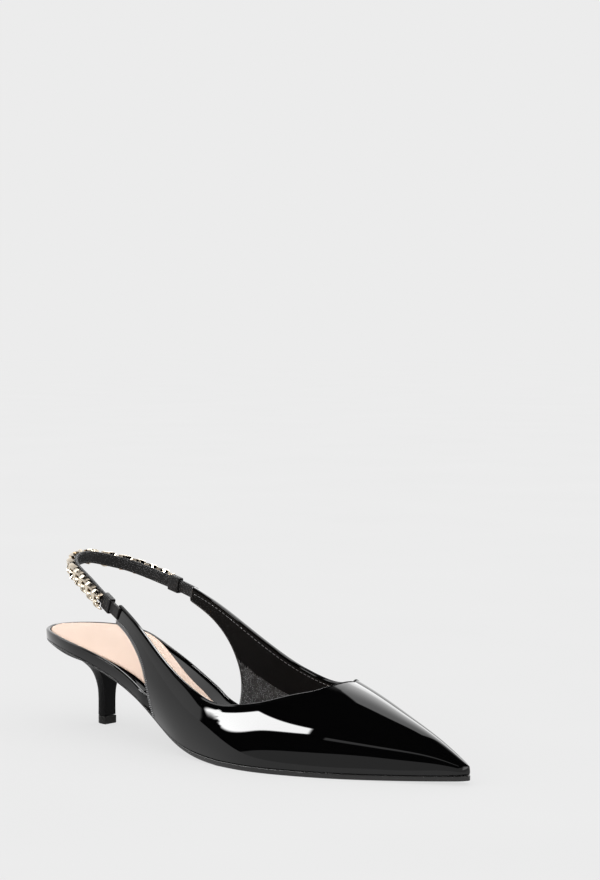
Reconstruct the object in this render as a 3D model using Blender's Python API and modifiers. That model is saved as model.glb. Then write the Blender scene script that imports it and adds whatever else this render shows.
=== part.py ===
"""Right slingback pump with a pointed toe, a kitten heel and a chain on its sling strap.

Metres, +Z up, +X toward the toe, +Y toward the medial side of the foot.
The origin is the centre of the top lift's underside, where the heel stands on the floor.
Tables hold shares of the named sizes: "at" is a share of LENGTH, measured from the seat's back.
"""

import math
from collections import namedtuple

import bmesh
import bpy
import numpy as np
from mathutils import Vector

# Driving dimensions of the shoe
LENGTH = 0.2575  # seat back to toe tip
BALL_WIDTH = 0.0750  # sole, across the ball
SEAT_WIDTH = 0.0550
SEAT_HEIGHT = 0.0412  # underside of the sole at the back of the seat
INSTEP_HEIGHT = 0.0379  # ridge of the vamp at the throat, above the floor
SEAT_OVERHANG = 0.0345  # seat back to the middle of the top lift
SEAT_ROUND = 0.0450  # length of the seat's half ellipse
TOE_ROUND = 0.0035  # radius of the toe's tip in plan
TREAD_START = 0.1475  # seat back to the start of the flat forepart
TREAD_END = 0.2000  # seat back to the end of the flat forepart
TOE_SPRING = 0.0019

# Leather, board and fits
WALL = 0.0017
TOE_PUFF = 0.0170  # solid toe ahead of the cavity
GAP = 0.0003
LEDGE = 0.0007  # sole edge showing around the forepart
WRAP = 0.0004  # how far the quarters stand proud of the waist
WAIST_TUCK = 0.0003  # sole edge held in under the seat and waist
BOARD_RIM = 0.0014  # the board's raised edge, round the sock's recess
SOCK_RECESS = 0.0014
SOCK_THICK = 0.0010
SOCK_WAIST_LATERAL = 0.0070  # the sock's edges draw in at the waist
SOCK_WAIST_MEDIAL = 0.0115
SOCK_ROUND = 0.0004
EDGE_ROUND = 0.0006
SOLE_EDGE_ROUND = 0.0003
STEEPEST_INSET = 1.6  # limits how much an inset grows where the outline turns across the shoe
WELD = 0.000002
SHARPEST_SMOOTH = 35  # degrees between faces that are still shaded as one surface

# Heel and top lift
LIFT_HEIGHT = 0.0040
LIFT_LENGTH = 0.0074
LIFT_WIDTH = 0.0073
LIFT_BACK = 0.57  # share of the top lift's length that lies behind the origin
HEEL_SQUARE = 2.5  # exponent of the heel's rounded back
HEEL_INSET = 0.0010  # the heel's top edge inside the sole's

# Sling strap, keepers and chain
STRAP_HEIGHT = 0.0830  # top edge of the strap at its highest
STRAP_WIDTH = 0.0060
STRAP_THICK = 0.0016
STRAP_START = 0.0012  # along the strap's path, where the lateral quarter ends
LATERAL_TAIL = 0.0045  # strap showing between the quarter and the keeper, on each side
MEDIAL_TAIL = 0.0105
KEEPER_LENGTH = 0.0070
KEEPER_WALL = 0.0006
CHAIN_WIDTH = 0.0072
CHAIN_THICK = 0.0031
CHAIN_PITCH = 0.0075
CHAIN_DROP = 0.0012  # the chain hangs this far under the strap's middle at its lateral end
CHAIN_LEVEL = 0.6  # share of the strap's path from which the chain hangs no lower
CHAIN_BAR = 0.0014
CHAIN_BAR_HEIGHT = 0.8  # share of CHAIN_THICK
LINK_DIP = 0.72  # height of the band between two links, as a share of a link's own
LINK_EDGE = 0.70  # height at the band's edges, as a share of CHAIN_THICK
LINK_FLAT = 0.70  # flat part of a link, as a share of the band's width

LATERAL, MEDIAL = -1, 1
QUARTER_RIBS, WAIST_RIBS, VAMP_RIBS, PANEL_COLUMNS = 11, 11, 20, 10
RIB_TURN = 0.49  # share of the length where the rib from the rear edge's foot meets the topline
RIB_CROWD = 1.15  # exponent that crowds the tops of the waist's ribs behind the throat
SOLE_STATIONS, STRAP_STATIONS, HEEL_SEGMENTS, HEEL_RINGS = 46, 60, 22, 16
KEEPER_STATIONS = 4
FOREPART = 0.58  # share of the length where the sole first lies flat
SLOPE_STEP, GIRTH_STEP = 0.002, 0.01  # steps in shares, for the slopes along and across the shoe
PATH_STEP = 0.0005

# Where a shape fades in or out, from one share of the length to another
TOE_BEND = (0.55, 1.0)  # the middle line bends over to the toe's own line
WAIST_FADE = (0.38, 0.55)  # the waist's close-trimmed edge opens to the forepart's ledge
RECESS_FADE = (0.38, 0.50)
SOCK_NARROW, SOCK_WIDEN = (0.18, 0.36), (0.40, 0.52)
BOARD_STEP = (0.045, 0.012)  # behind the foot of the rear edge, where the board steps in
TUCK_UP = 0.30  # share of the last's height under which it curls in to the feather line

SoleRow = namedtuple("SoleRow", "at lateral medial underside footbed leather")
# lateral and medial are shares of BALL_WIDTH, underside of SEAT_HEIGHT;
# footbed and leather are heights over the underside, as shares of SEAT_HEIGHT
SOLE = [
    SoleRow(0.00, 0.367, 0.367, 1.000, 0.130, 0.024),
    SoleRow(0.08, 0.367, 0.367, 0.971, 0.138, 0.024),
    SoleRow(0.16, 0.367, 0.333, 0.886, 0.154, 0.024),
    SoleRow(0.22, 0.365, 0.280, 0.782, 0.171, 0.026),
    SoleRow(0.28, 0.364, 0.248, 0.648, 0.180, 0.027),
    SoleRow(0.34, 0.379, 0.243, 0.476, 0.167, 0.028),
    SoleRow(0.40, 0.411, 0.273, 0.267, 0.148, 0.030),
    SoleRow(0.46, 0.464, 0.337, 0.114, 0.129, 0.037),
    SoleRow(0.52, 0.501, 0.400, 0.029, 0.117, 0.051),
    SoleRow(0.58, 0.525, 0.447, 0.000, 0.112, 0.056),
    SoleRow(0.65, 0.523, 0.471, 0.000, 0.112, 0.056),
    SoleRow(0.72, 0.461, 0.451, 0.000, 0.112, 0.056),
    SoleRow(0.79, 0.360, 0.387, 0.000, 0.112, 0.056),
    SoleRow(0.86, 0.235, 0.297, 0.000, 0.112, 0.056),
    SoleRow(0.93, 0.107, 0.190, 0.000, 0.112, 0.055),
    SoleRow(1.00, -0.020, 0.080, 0.000, 0.112, 0.053),
]

LastRow = namedtuple("LastRow", "at crest_out crest_up full lateral medial")
# The last above the feather line: crest_up is a share of INSTEP_HEIGHT, full the exponent of
# the section's curve, the rest are shares of BALL_WIDTH at the widest place of each side
LAST = [
    LastRow(0.26, 0.000, 2.690, 2.80, 0.332, 0.330),
    LastRow(0.34, 0.000, 2.350, 2.75, 0.415, 0.340),
    LastRow(0.40, 0.003, 2.090, 2.65, 0.460, 0.362),
    LastRow(0.46, 0.007, 1.850, 2.45, 0.492, 0.390),
    LastRow(0.52, 0.012, 1.625, 2.25, 0.514, 0.422),
    LastRow(0.58, 0.017, 1.425, 2.00, 0.525, 0.450),
    LastRow(0.65, 0.022, 1.230, 1.8, 0.517, 0.466),
    LastRow(0.72, 0.026, 1.073, 1.7, 0.455, 0.445),
    LastRow(0.79, 0.032, 0.910, 1.65, 0.354, 0.381),
    LastRow(0.86, 0.040, 0.707, 1.65, 0.229, 0.291),
    LastRow(0.93, 0.047, 0.490, 1.7, 0.100, 0.184),
    LastRow(1.00, 0.051, 0.215, 2.0, -0.020, 0.080),
]

EdgeRow = namedtuple("EdgeRow", "at girth")
# girth is the share of the way up the last's section, from the feather line to the crest
LATERAL_TOPLINE = [
    EdgeRow(0.270, 0.236),
    EdgeRow(0.340, 0.256),
    EdgeRow(0.420, 0.257),
    EdgeRow(0.500, 0.262),
    EdgeRow(0.550, 0.279),
    EdgeRow(0.600, 0.346),
    EdgeRow(0.650, 0.448),
    EdgeRow(0.700, 0.600),
    EdgeRow(0.735, 0.780),
    EdgeRow(0.753, 1.000),
]
MEDIAL_TOPLINE = [
    EdgeRow(0.288, 0.315),
    EdgeRow(0.360, 0.360),
    EdgeRow(0.420, 0.384),
    EdgeRow(0.480, 0.391),
    EdgeRow(0.530, 0.392),
    EdgeRow(0.580, 0.415),
    EdgeRow(0.640, 0.470),
    EdgeRow(0.695, 0.600),
    EdgeRow(0.733, 0.780),
    EdgeRow(0.753, 1.000),
]

RearRow = namedtuple("RearRow", "down at girth")
# The rear edge of each quarter, down from the strap's end to the sole
LATERAL_REAR = [
    RearRow(0.00, 0.266, 0.160),
    RearRow(0.25, 0.307, 0.169),
    RearRow(0.50, 0.346, 0.150),
    RearRow(0.70, 0.367, 0.111),
    RearRow(0.85, 0.3775, 0.060),
    RearRow(1.00, 0.386, 0.000),
]
MEDIAL_REAR = [
    RearRow(0.00, 0.277, 0.232),
    RearRow(0.25, 0.312, 0.239),
    RearRow(0.50, 0.350, 0.228),
    RearRow(0.70, 0.380, 0.177),
    RearRow(0.85, 0.397, 0.100),
    RearRow(1.00, 0.409, 0.000),
]

HeelRow = namedtuple("HeelRow", "up width back breast level")
# up is a share of SEAT_HEIGHT, the widths and depths of SEAT_WIDTH; level is how much of the
# seat's own slope the section takes, from flat at the top lift to the whole slope on top
HEEL = [
    HeelRow(0.104, 0.133, 0.077, 0.050, 0.0),
    HeelRow(0.290, 0.133, 0.075, 0.050, 0.0),
    HeelRow(0.425, 0.148, 0.080, 0.053, 0.0),
    HeelRow(0.560, 0.210, 0.100, 0.062, 0.0),
    HeelRow(0.680, 0.342, 0.126, 0.076, 0.05),
    HeelRow(0.765, 0.495, 0.160, 0.092, 0.15),
    HeelRow(0.830, 0.630, 0.215, 0.106, 0.35),
    HeelRow(0.885, 0.760, 0.330, 0.120, 0.65),
    HeelRow(1.000, 0.900, 0.545, 0.140, 1.0),
]

StrapRow = namedtuple("StrapRow", "ahead out up")
# The strap's middle line from the lateral quarter round to the medial one: ahead as a share of
# the way from the origin to the lateral quarter's end, out as a share of SEAT_WIDTH, and the
# top edge's height as a share of STRAP_HEIGHT
STRAP = [
    StrapRow(1.043, -0.455, 0.762),
    StrapRow(0.788, -0.418, 0.806),
    StrapRow(0.461, -0.364, 0.863),
    StrapRow(0.079, -0.284, 0.919),
    StrapRow(-0.265, -0.191, 0.959),
    StrapRow(-0.510, -0.064, 0.988),
    StrapRow(-0.633, 0.073, 1.000),
    StrapRow(-0.647, 0.200, 0.998),
    StrapRow(-0.529, 0.327, 0.978),
    StrapRow(-0.265, 0.418, 0.952),
    StrapRow(0.089, 0.469, 0.916),
    StrapRow(0.442, 0.487, 0.880),
    StrapRow(0.794, 0.478, 0.849),
    StrapRow(1.060, 0.455, 0.826),
]


def spline(rows, key, over="at"):
    """A natural cubic through one named column of a table, as a function of another column."""
    xs = np.array([getattr(row, over) for row in rows], float)
    ys = np.array([getattr(row, key) for row in rows], float)
    step = np.diff(xs)
    slope = np.diff(ys) / step
    system = np.eye(len(xs))
    bend = np.zeros(len(xs))
    for i in range(1, len(xs) - 1):
        system[i, i - 1 : i + 2] = step[i - 1], 2 * (step[i - 1] + step[i]), step[i]
        bend[i] = 6 * (slope[i] - slope[i - 1])
    bend = np.linalg.solve(system, bend)

    def value(x):
        i = int(np.clip(np.searchsorted(xs, x) - 1, 0, len(step) - 1))
        a, b = (xs[i + 1] - x) / step[i], (x - xs[i]) / step[i]
        curved = ((a**3 - a) * bend[i] + (b**3 - b) * bend[i + 1]) * step[i] ** 2 / 6
        return a * ys[i] + b * ys[i + 1] + curved

    return value


def ramp(x, start, end):
    """0 before start, 1 after end, smooth between."""
    t = min(max((x - start) / (end - start), 0.0), 1.0)
    return t * t * (3 - 2 * t)


SOLE_OUT = {LATERAL: spline(SOLE, "lateral"), MEDIAL: spline(SOLE, "medial")}
LAST_OUT = {LATERAL: spline(LAST, "lateral"), MEDIAL: spline(LAST, "medial")}
UNDERSIDE = spline([row for row in SOLE if row.at <= FOREPART], "underside")
FOOTBED, LEATHER = spline(SOLE, "footbed"), spline(SOLE, "leather")
CREST_OUT, CREST_UP, FULL = (spline(LAST, key) for key in ("crest_out", "crest_up", "full"))
TOPLINE = {LATERAL: spline(LATERAL_TOPLINE, "girth"), MEDIAL: spline(MEDIAL_TOPLINE, "girth")}
REAR_AT, REAR_GIRTH = (
    {LATERAL: spline(LATERAL_REAR, key, over="down"), MEDIAL: spline(MEDIAL_REAR, key, over="down")}
    for key in ("at", "girth")
)
WING_TOP = {LATERAL: LATERAL_TOPLINE[0].at, MEDIAL: MEDIAL_TOPLINE[0].at}
THROAT = LATERAL_TOPLINE[-1].at
TOE_OUT = CREST_OUT(1.0) * BALL_WIDTH


def ahead(at):
    """World x of a share of the length."""
    return at * LENGTH - SEAT_OVERHANG


def end_round(at):
    """Closes a plan outline round the seat and round the tip of the toe."""
    back, front = at * LENGTH, (1 - at) * LENGTH
    share = 1.0
    if back < SEAT_ROUND:
        share *= math.sqrt(max(0.0, 1 - (1 - back / SEAT_ROUND) ** 2))
    if front < TOE_ROUND:
        share *= math.sqrt(max(0.0, 1 - (1 - front / TOE_ROUND) ** 2))
    return share


def middle(at):
    """The line that the outline closes onto: the axis at the seat, the toe's own line ahead."""
    return TOE_OUT * ramp(at, *TOE_BEND)


def half_width(side, at):
    """From the middle line to the sole's edge."""
    return (SOLE_OUT[side](at) * BALL_WIDTH - side * middle(at)) * end_round(at)


def outline(side, at, inset=0.0):
    """World y of the sole's outline, drawn in by an inset that is square to the edge."""
    back, front = max(0.0, at - SLOPE_STEP), min(1.0, at + SLOPE_STEP)
    slope = (half_width(side, front) - half_width(side, back)) / ((front - back) * LENGTH)
    drawn_in = inset * min(math.sqrt(1 + slope**2), STEEPEST_INSET)
    return middle(at) + side * max(0.0, half_width(side, at) - drawn_in)


def underside(at):
    back, x = SEAT_HEIGHT * UNDERSIDE(min(at, FOREPART)), at * LENGTH
    if x >= TREAD_START:
        back = 0.0
    rise = max(0.0, (x - TREAD_END) / (LENGTH - TREAD_END))
    return max(0.0, back) + TOE_SPRING * rise**2


def sole_top(at):
    return underside(at) + SEAT_HEIGHT * LEATHER(at)


def footbed(at):
    return underside(at) + SEAT_HEIGHT * FOOTBED(at)


def foot_at(side):
    """Where the quarter's rear edge meets the sole."""
    return REAR_AT[side](1.0)


def ledge_at(at):
    """Sole edge showing outside the upper: below zero where the quarters wrap the waist."""
    return LEDGE - (LEDGE + WRAP) * (1 - ramp(at, *WAIST_FADE))


def feather_half(side, at):
    """Half width of the upper where it meets the sole."""
    return abs(outline(side, at, ledge_at(at)) - middle(at))


def last_point(side, at, girth):
    """A point of the upper's outer face, girth 0 at the feather line and 1 on the crest."""
    full = FULL(at)
    up = math.sin(girth * math.pi / 2) ** (2 / full)
    out = max(0.0, math.cos(girth * math.pi / 2)) ** (2 / full)
    low, high = sole_top(at) + GAP, CREST_UP(at) * INSTEP_HEIGHT
    crest = middle(at) + (CREST_OUT(at) * BALL_WIDTH - middle(at)) * (1 - out)
    wide = (LAST_OUT[side](at) * BALL_WIDTH - side * middle(at)) * end_round(at)
    feather = feather_half(side, at)
    tuck = (wide - feather) * max(0.0, 1 - up / TUCK_UP) ** 2
    return np.array((ahead(at), crest + side * (wide * out - tuck), low + (high - low) * up))


def last_normal(side, at, girth):
    """The outward normal of the last, from small steps along and across it."""
    front, back = min(at + SLOPE_STEP, 1.0), at - SLOPE_STEP
    above, below = min(girth + GIRTH_STEP, 1.0), max(girth - GIRTH_STEP, 0.0)
    run = last_point(side, front, girth) - last_point(side, back, girth)
    climb = last_point(side, at, above) - last_point(side, at, below)
    normal = np.cross(run, climb) * side * -1
    if girth > 1 - GIRTH_STEP:
        run = last_point(side, front, 1.0) - last_point(side, back, 1.0)
        normal = np.array((-run[2], 0.0, run[0]))
    return normal / np.linalg.norm(normal)


def material(name, colour, roughness, metallic=0.0):
    made = bpy.data.materials.new(name)
    made.use_nodes = True
    shader = made.node_tree.nodes["Principled BSDF"]
    shader.inputs["Base Color"].default_value = (*colour, 1.0)
    shader.inputs["Roughness"].default_value = roughness
    shader.inputs["Metallic"].default_value = metallic
    made.diffuse_color = (*colour, 1.0)
    return made


class Surface:
    """Collects quads and rings into one mesh, and welds the seams that they share."""

    def __init__(self, name, collection, finish):
        self.name, self.collection, self.finish = name, collection, finish
        self.mesh = bmesh.new()

    def vertices(self, points):
        return [self.mesh.verts.new(Vector(point)) for point in points]

    def face(self, corners):
        self.mesh.faces.new(corners)

    def bridge(self, first, second, closed=False, flip=False):
        """Quads between two rows of vertices."""
        count = len(first)
        for i in range(count if closed else count - 1):
            j = (i + 1) % count
            quad = [first[i], second[i], second[j], first[j]]
            self.face(quad[::-1] if flip else quad)

    def build(self):
        bmesh.ops.remove_doubles(self.mesh, verts=self.mesh.verts, dist=WELD)
        bmesh.ops.dissolve_degenerate(self.mesh, dist=WELD / 2, edges=self.mesh.edges)
        bmesh.ops.recalc_face_normals(self.mesh, faces=self.mesh.faces)
        data = bpy.data.meshes.new(self.name)
        self.mesh.to_mesh(data)
        self.mesh.free()
        data.materials.append(self.finish)
        data.shade_smooth()
        data.set_sharp_from_angle(angle=math.radians(SHARPEST_SMOOTH))
        made = bpy.data.objects.new(self.name, data)
        self.collection.objects.link(made)
        return made


def loft(name, collection, finish, rings, caps=(False, False)):
    """One closed body through rings of points; an end ring that narrows to a line has no cap."""
    body = Surface(name, collection, finish)
    rows = [body.vertices(ring) for ring in rings]
    for first, second in zip(rows, rows[1:]):
        body.bridge(first, second, closed=True)
    for row, capped in zip((rows[0], rows[-1]), caps):
        if capped:
            body.face(row)
    return body.build()


def stations(start, end, count, ease_start=False, ease_end=False):
    """Shares of the length from start to end, closer together at an end that is round."""
    values = []
    for i in range(count + 1):
        t = i / count
        if ease_start and ease_end:
            t = (1 - math.cos(math.pi * t)) / 2
        elif ease_start:
            t = 1 - math.cos(math.pi / 2 * t)
        elif ease_end:
            t = math.sin(math.pi / 2 * t)
        values.append(start + (end - start) * t)
    return values


def slab_ring(at, low, high, insets, ease):
    """A cross-section between two heights, its edges eased, drawn in by an inset for each side."""
    ring = []
    for side, order in ((LATERAL, 1), (MEDIAL, -1)):
        edge = [
            (ahead(at), outline(side, at, insets[side] + ease), low),
            (ahead(at), outline(side, at, insets[side]), low + ease),
            (ahead(at), outline(side, at, insets[side]), high - ease),
            (ahead(at), outline(side, at, insets[side] + ease), high),
        ]
        ring += edge[::order]
    return ring


def outsole(collection, finish):
    rings = []
    for at in stations(0.0, 1.0, SOLE_STATIONS, ease_start=True, ease_end=True):
        inset = WAIST_TUCK * (1 - ramp(at, *WAIST_FADE))
        insets = {LATERAL: inset, MEDIAL: inset}
        rings.append(slab_ring(at, underside(at), sole_top(at), insets, SOLE_EDGE_ROUND))
    return loft("outsole", collection, finish, rings)


def board_inset(side, at):
    """The board fills the seat's outline and steps in to lie inside the upper ahead of it."""
    start, end = (foot_at(side) - ahead_of for ahead_of in BOARD_STEP)
    return (WALL + GAP + ledge_at(at)) * ramp(at, start, end)


def board_end():
    return 1 - (TOE_PUFF + GAP + WALL) / LENGTH


def recess(at):
    """Depth of the board's dish, which holds the sock behind the throat and fades out ahead."""
    return SOCK_RECESS * (1 - ramp(at, *RECESS_FADE))


def sock_inset(side, at):
    """The sock nearly fills the seat, draws in at the waist and widens again over the ball."""
    edge = BOARD_RIM + GAP
    waist = (SOCK_WAIST_LATERAL if side == LATERAL else SOCK_WAIST_MEDIAL) - edge
    narrow = waist * ramp(at, *SOCK_NARROW) * (1 - ramp(at, *SOCK_WIDEN))
    return board_inset(side, at) + edge + narrow


PlanLoop = namedtuple("PlanLoop", "back inset level")


def plan_edge(side, loop, front):
    """One side of a loop in plan: drawn in from the outline, from the seat's back to the front.

    back is how far the loop stands in from the seat's back, inset(side, at) and level(at) its
    distance in from the outline and its height along the shoe.
    """
    points, start = [], loop.back / LENGTH
    for at in stations(start, front, SOLE_STATIONS, ease_start=True):
        share = end_round(max(0.0, at - start)) / max(end_round(at), WELD)
        half = abs(outline(side, at, loop.inset(side, at)) - middle(at)) * min(1.0, share)
        points.append((ahead(at), middle(at) + side * half, loop.level(at)))
    return points


def plan_body(name, collection, finish, loops, front):
    """A closed body through loops in plan, closed across under the first and over the last."""
    body = Surface(name, collection, finish)
    edges = {
        side: [body.vertices(plan_edge(side, loop, front)) for loop in loops]
        for side in (LATERAL, MEDIAL)
    }
    for rows in edges.values():
        for first, second in zip(rows, rows[1:]):
            body.bridge(first, second)
    for k in (0, -1):
        body.bridge(edges[LATERAL][k], edges[MEDIAL][k])
    ends = [[row[-1] for row in edges[side]] for side in (LATERAL, MEDIAL)]
    body.face(ends[0] + ends[1][::-1])
    return body.build()


def board_loop(inset, level):
    """A loop of the board, set in evenly from its own edge."""
    return PlanLoop(inset, lambda side, at: board_inset(side, at) + inset, level)


def insole_board(collection, finish):
    loops = [
        board_loop(EDGE_ROUND, lambda at: sole_top(at) + GAP),
        board_loop(0.0, lambda at: sole_top(at) + GAP + EDGE_ROUND),
        board_loop(0.0, lambda at: footbed(at) - EDGE_ROUND),
        board_loop(EDGE_ROUND, footbed),
        board_loop(BOARD_RIM, footbed),
        board_loop(BOARD_RIM, lambda at: footbed(at) - recess(at)),
    ]
    return plan_body("insole_board", collection, finish, loops, board_end())


def sock_loop(inset, up):
    """A loop of the sock, set in from its edge, at a height over the sock's underside."""
    return PlanLoop(
        BOARD_RIM + GAP + inset,
        lambda side, at: sock_inset(side, at) + inset,
        lambda at: footbed(at) - recess(at) + GAP + up,
    )


def sock_lining(collection, finish):
    loops = [
        sock_loop(0.0, 0.0),
        sock_loop(0.0, SOCK_THICK - SOCK_ROUND),
        sock_loop(SOCK_ROUND, SOCK_THICK),
    ]
    return plan_body("sock_lining", collection, finish, loops, board_end() - BOARD_RIM / LENGTH)


def rib_pairs(side):
    """Foot and top of each rib of a panel, as (at, girth), from the wing's end to the toe."""
    ribs = []
    for i in range(QUARTER_RIBS):
        t = i / QUARTER_RIBS
        top = WING_TOP[side] + (RIB_TURN - WING_TOP[side]) * t
        ribs.append(((REAR_AT[side](t), REAR_GIRTH[side](t)), (top, TOPLINE[side](top))))
    for i in range(WAIST_RIBS):
        t = i / WAIST_RIBS
        foot = foot_at(side) + (THROAT - foot_at(side)) * t
        top = RIB_TURN + (THROAT - RIB_TURN) * (1 - (1 - t) ** RIB_CROWD)
        ribs.append(((foot, 0.0), (top, TOPLINE[side](top))))
    for at in stations(THROAT, 1.0, VAMP_RIBS, ease_end=True):
        ribs.append(((at, 0.0), (at, 1.0)))
    return ribs


def panel_points(side):
    """Outer and inner points of one side of the upper, a row for each rib."""
    outer, inner = [], []
    for (low_at, low), (high_at, high) in rib_pairs(side):
        outside, inside = [], []
        for column in range(PANEL_COLUMNS + 1):
            t = column / PANEL_COLUMNS
            at, girth = low_at + (high_at - low_at) * t, low + (high - low) * t
            point = last_point(side, at, girth)
            under = point - last_normal(side, at, girth) * WALL
            if girth < WELD:
                under[2] = point[2]
            outside.append(point)
            inside.append(under)
        outer.append(outside)
        inner.append(inside)
    return outer, inner


def upper(collection, finish):
    """Vamp and quarters as one wall, open at the throat, behind the quarters and underneath."""
    body = Surface("upper", collection, finish)
    throat = QUARTER_RIBS + WAIST_RIBS
    cavity = throat + sum(
        ahead(foot[0]) < ahead(1.0) - TOE_PUFF for foot, _ in rib_pairs(LATERAL)[throat:]
    )
    rows = {}
    for side in (LATERAL, MEDIAL):
        outer, inner = panel_points(side)
        rows[side] = (
            [body.vertices(row) for row in outer],
            [body.vertices(row) for row in inner[: cavity + 1]],
        )
        skin, lining = rows[side]
        for i in range(len(skin) - 1):
            body.bridge(skin[i], skin[i + 1])
        for i in range(cavity):
            body.bridge(lining[i], lining[i + 1])
            body.face([skin[i][0], skin[i + 1][0], lining[i + 1][0], lining[i][0]])
            if i < throat:
                body.face([skin[i][-1], skin[i + 1][-1], lining[i + 1][-1], lining[i][-1]])
        body.bridge(skin[0], lining[0])
    left, left_in = rows[LATERAL]
    right, right_in = rows[MEDIAL]
    body.face(left_in[cavity] + right_in[cavity][-2::-1])
    first = [left[cavity][0], left_in[cavity][0], right_in[cavity][0], right[cavity][0]]
    body.face(first + [right[cavity + 1][0], left[cavity + 1][0]])
    for i in range(cavity + 1, len(left) - 1):
        body.face([left[i][0], left[i + 1][0], right[i + 1][0], right[i][0]])
    return body.build()


def heel_ring(row):
    """A D-shaped section: flat breast in front, rounded sides and back."""
    half, depth = row.width * SEAT_WIDTH / 2, (row.back + row.breast) * SEAT_WIDTH
    front = row.breast * SEAT_WIDTH
    ring = []
    for i in range(HEEL_SEGMENTS + 1):
        turn = math.pi * i / HEEL_SEGMENTS - math.pi / 2
        across = math.copysign(abs(math.sin(turn)) ** (2 / HEEL_SQUARE), turn)
        x = front - depth * max(0.0, math.cos(turn)) ** (2 / HEEL_SQUARE)
        at = max(0.0, (x + SEAT_OVERHANG) / LENGTH)
        y = min(abs(half * across), abs(outline(LATERAL, at, HEEL_INSET))) * math.copysign(1, turn)
        seat = underside(at) - GAP
        ring.append((x, y, row.up * (SEAT_HEIGHT + (seat - SEAT_HEIGHT) * row.level)))
    return ring


def heel(collection, finish):
    count, keys = HEEL_RINGS, ("width", "back", "breast", "level")
    shapes = {key: spline(HEEL, key, over="up") for key in keys}
    bottom = (LIFT_HEIGHT + GAP) / SEAT_HEIGHT
    rings = []
    for i in range(count + 1):
        up = bottom + (1 - bottom) * math.sin(math.pi / 2 * i / count)
        level = 1.0 if i == count else max(0.0, shapes["level"](up))
        rings.append(
            heel_ring(HeelRow(up, *(shapes[key](up) for key in keys[:3]), min(1.0, level)))
        )
    return loft("heel", collection, finish, rings, caps=(True, True))


def top_lift(collection, finish):
    share = SEAT_WIDTH
    back, breast = LIFT_BACK * LIFT_LENGTH / share, (1 - LIFT_BACK) * LIFT_LENGTH / share
    ring = heel_ring(HeelRow(0.0, LIFT_WIDTH / share, back, breast, 0.0))
    rings = [[(x, y, z) for x, y, _ in ring] for z in (0.0, LIFT_HEIGHT)]
    return loft("top_lift", collection, finish, rings, caps=(True, True))


class Path:
    """The strap's middle line with its own directions, measured by length from the lateral end."""

    def __init__(self):
        lengths, reach = [0.0], ahead(REAR_AT[LATERAL](0.0))
        rows = [
            np.array((row.ahead * reach, row.out * SEAT_WIDTH, row.up * STRAP_HEIGHT))
            for row in STRAP
        ]
        for first, second in zip(rows, rows[1:]):
            lengths.append(lengths[-1] + float(np.linalg.norm(second - first)))
        point = namedtuple("Point", "at x y z")
        table = [point(length, *row) for length, row in zip(lengths, rows)]
        self.length = lengths[-1]
        self.axes = [spline(table, key) for key in "xyz"]

    def top(self, s):
        return np.array([axis(s) for axis in self.axes])

    def frame(self, s):
        """Point on the middle line, forward, outward and up-the-strap directions."""
        along = self.top(s + PATH_STEP) - self.top(s - PATH_STEP)
        along /= np.linalg.norm(along)
        out = np.cross(along, (0.0, 0.0, 1.0)) * -1
        out /= np.linalg.norm(out)
        up = np.cross(along, out)
        return self.top(s) - up * STRAP_WIDTH / 2, along, out, up


def ribbon_ring(path, s, width, inner, outer):
    """A flat section across the strap, between two distances out from its middle."""
    centre, _, out, up = path.frame(s)
    corners = ((inner, -1), (inner, 1), (outer, 1), (outer, -1))
    return [centre + out * depth + up * side * width / 2 for depth, side in corners]


def sling_strap(collection, finish, path):
    half, run = STRAP_THICK / 2, path.length - STRAP_START
    rings = [
        ribbon_ring(path, STRAP_START + run * i / STRAP_STATIONS, STRAP_WIDTH, -half, half)
        for i in range(STRAP_STATIONS + 1)
    ]
    return loft("sling_strap", collection, finish, rings, caps=(True, True))


def keeper(name, collection, finish, path, start):
    """A leather loop round the strap: an open sleeve given its wall by Solidify."""
    depth, step = STRAP_THICK / 2 + GAP, KEEPER_LENGTH / KEEPER_STATIONS
    rings = [
        ribbon_ring(path, start + step * i, STRAP_WIDTH + 2 * GAP, -depth, depth)
        for i in range(KEEPER_STATIONS + 1)
    ]
    body = Surface(name, collection, finish)
    rows = [body.vertices(ring) for ring in rings]
    for first, second in zip(rows, rows[1:]):
        body.bridge(first, second, closed=True)
    made = body.build()
    shell = made.modifiers.new("wall", "SOLIDIFY")
    shell.thickness = KEEPER_WALL
    shell.offset = 1.0
    shell.use_even_offset = True
    return made


def chain_drop(path, s):
    """How far the chain hangs under the strap's middle."""
    return CHAIN_DROP * (1 - ramp(s, 0.0, path.length * CHAIN_LEVEL))


def chain(collection, finish, path, start, end):
    """Nested chevron links lying along the strap's outer face, as one ribbed band."""
    links = round((end - start) / CHAIN_PITCH)
    seat = STRAP_THICK / 2 + GAP
    rings = []
    for i in range(2 * links + 1):
        s = start + (end - start) * i / (2 * links)
        full = 1.0 if i % 2 else LINK_DIP
        centre, _, out, up = path.frame(s)
        centre = centre - up * chain_drop(path, s)
        half, edge, deep = CHAIN_WIDTH / 2, seat + CHAIN_THICK * LINK_EDGE, seat + CHAIN_THICK * full
        profile = (
            (-half, seat),
            (half, seat),
            (half, edge),
            (half * LINK_FLAT, deep),
            (-half * LINK_FLAT, deep),
            (-half, edge),
        )
        rings.append([centre + up * across + out * depth for across, depth in profile])
    return loft("chain", collection, finish, rings, caps=(True, True))


def chain_bar(collection, finish, path, start):
    """The plain bar that ends the chain beside the medial keeper."""
    seat = STRAP_THICK / 2 + GAP
    high = seat + CHAIN_THICK * CHAIN_BAR_HEIGHT
    rings = [
        ribbon_ring(path, start + CHAIN_BAR * i, CHAIN_WIDTH, seat, high)
        for i in (0, 1)
    ]
    return loft("chain_bar", collection, finish, rings, caps=(True, True))


def clear_scene():
    for item in list(bpy.data.objects):
        bpy.data.objects.remove(item, do_unlink=True)


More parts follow.
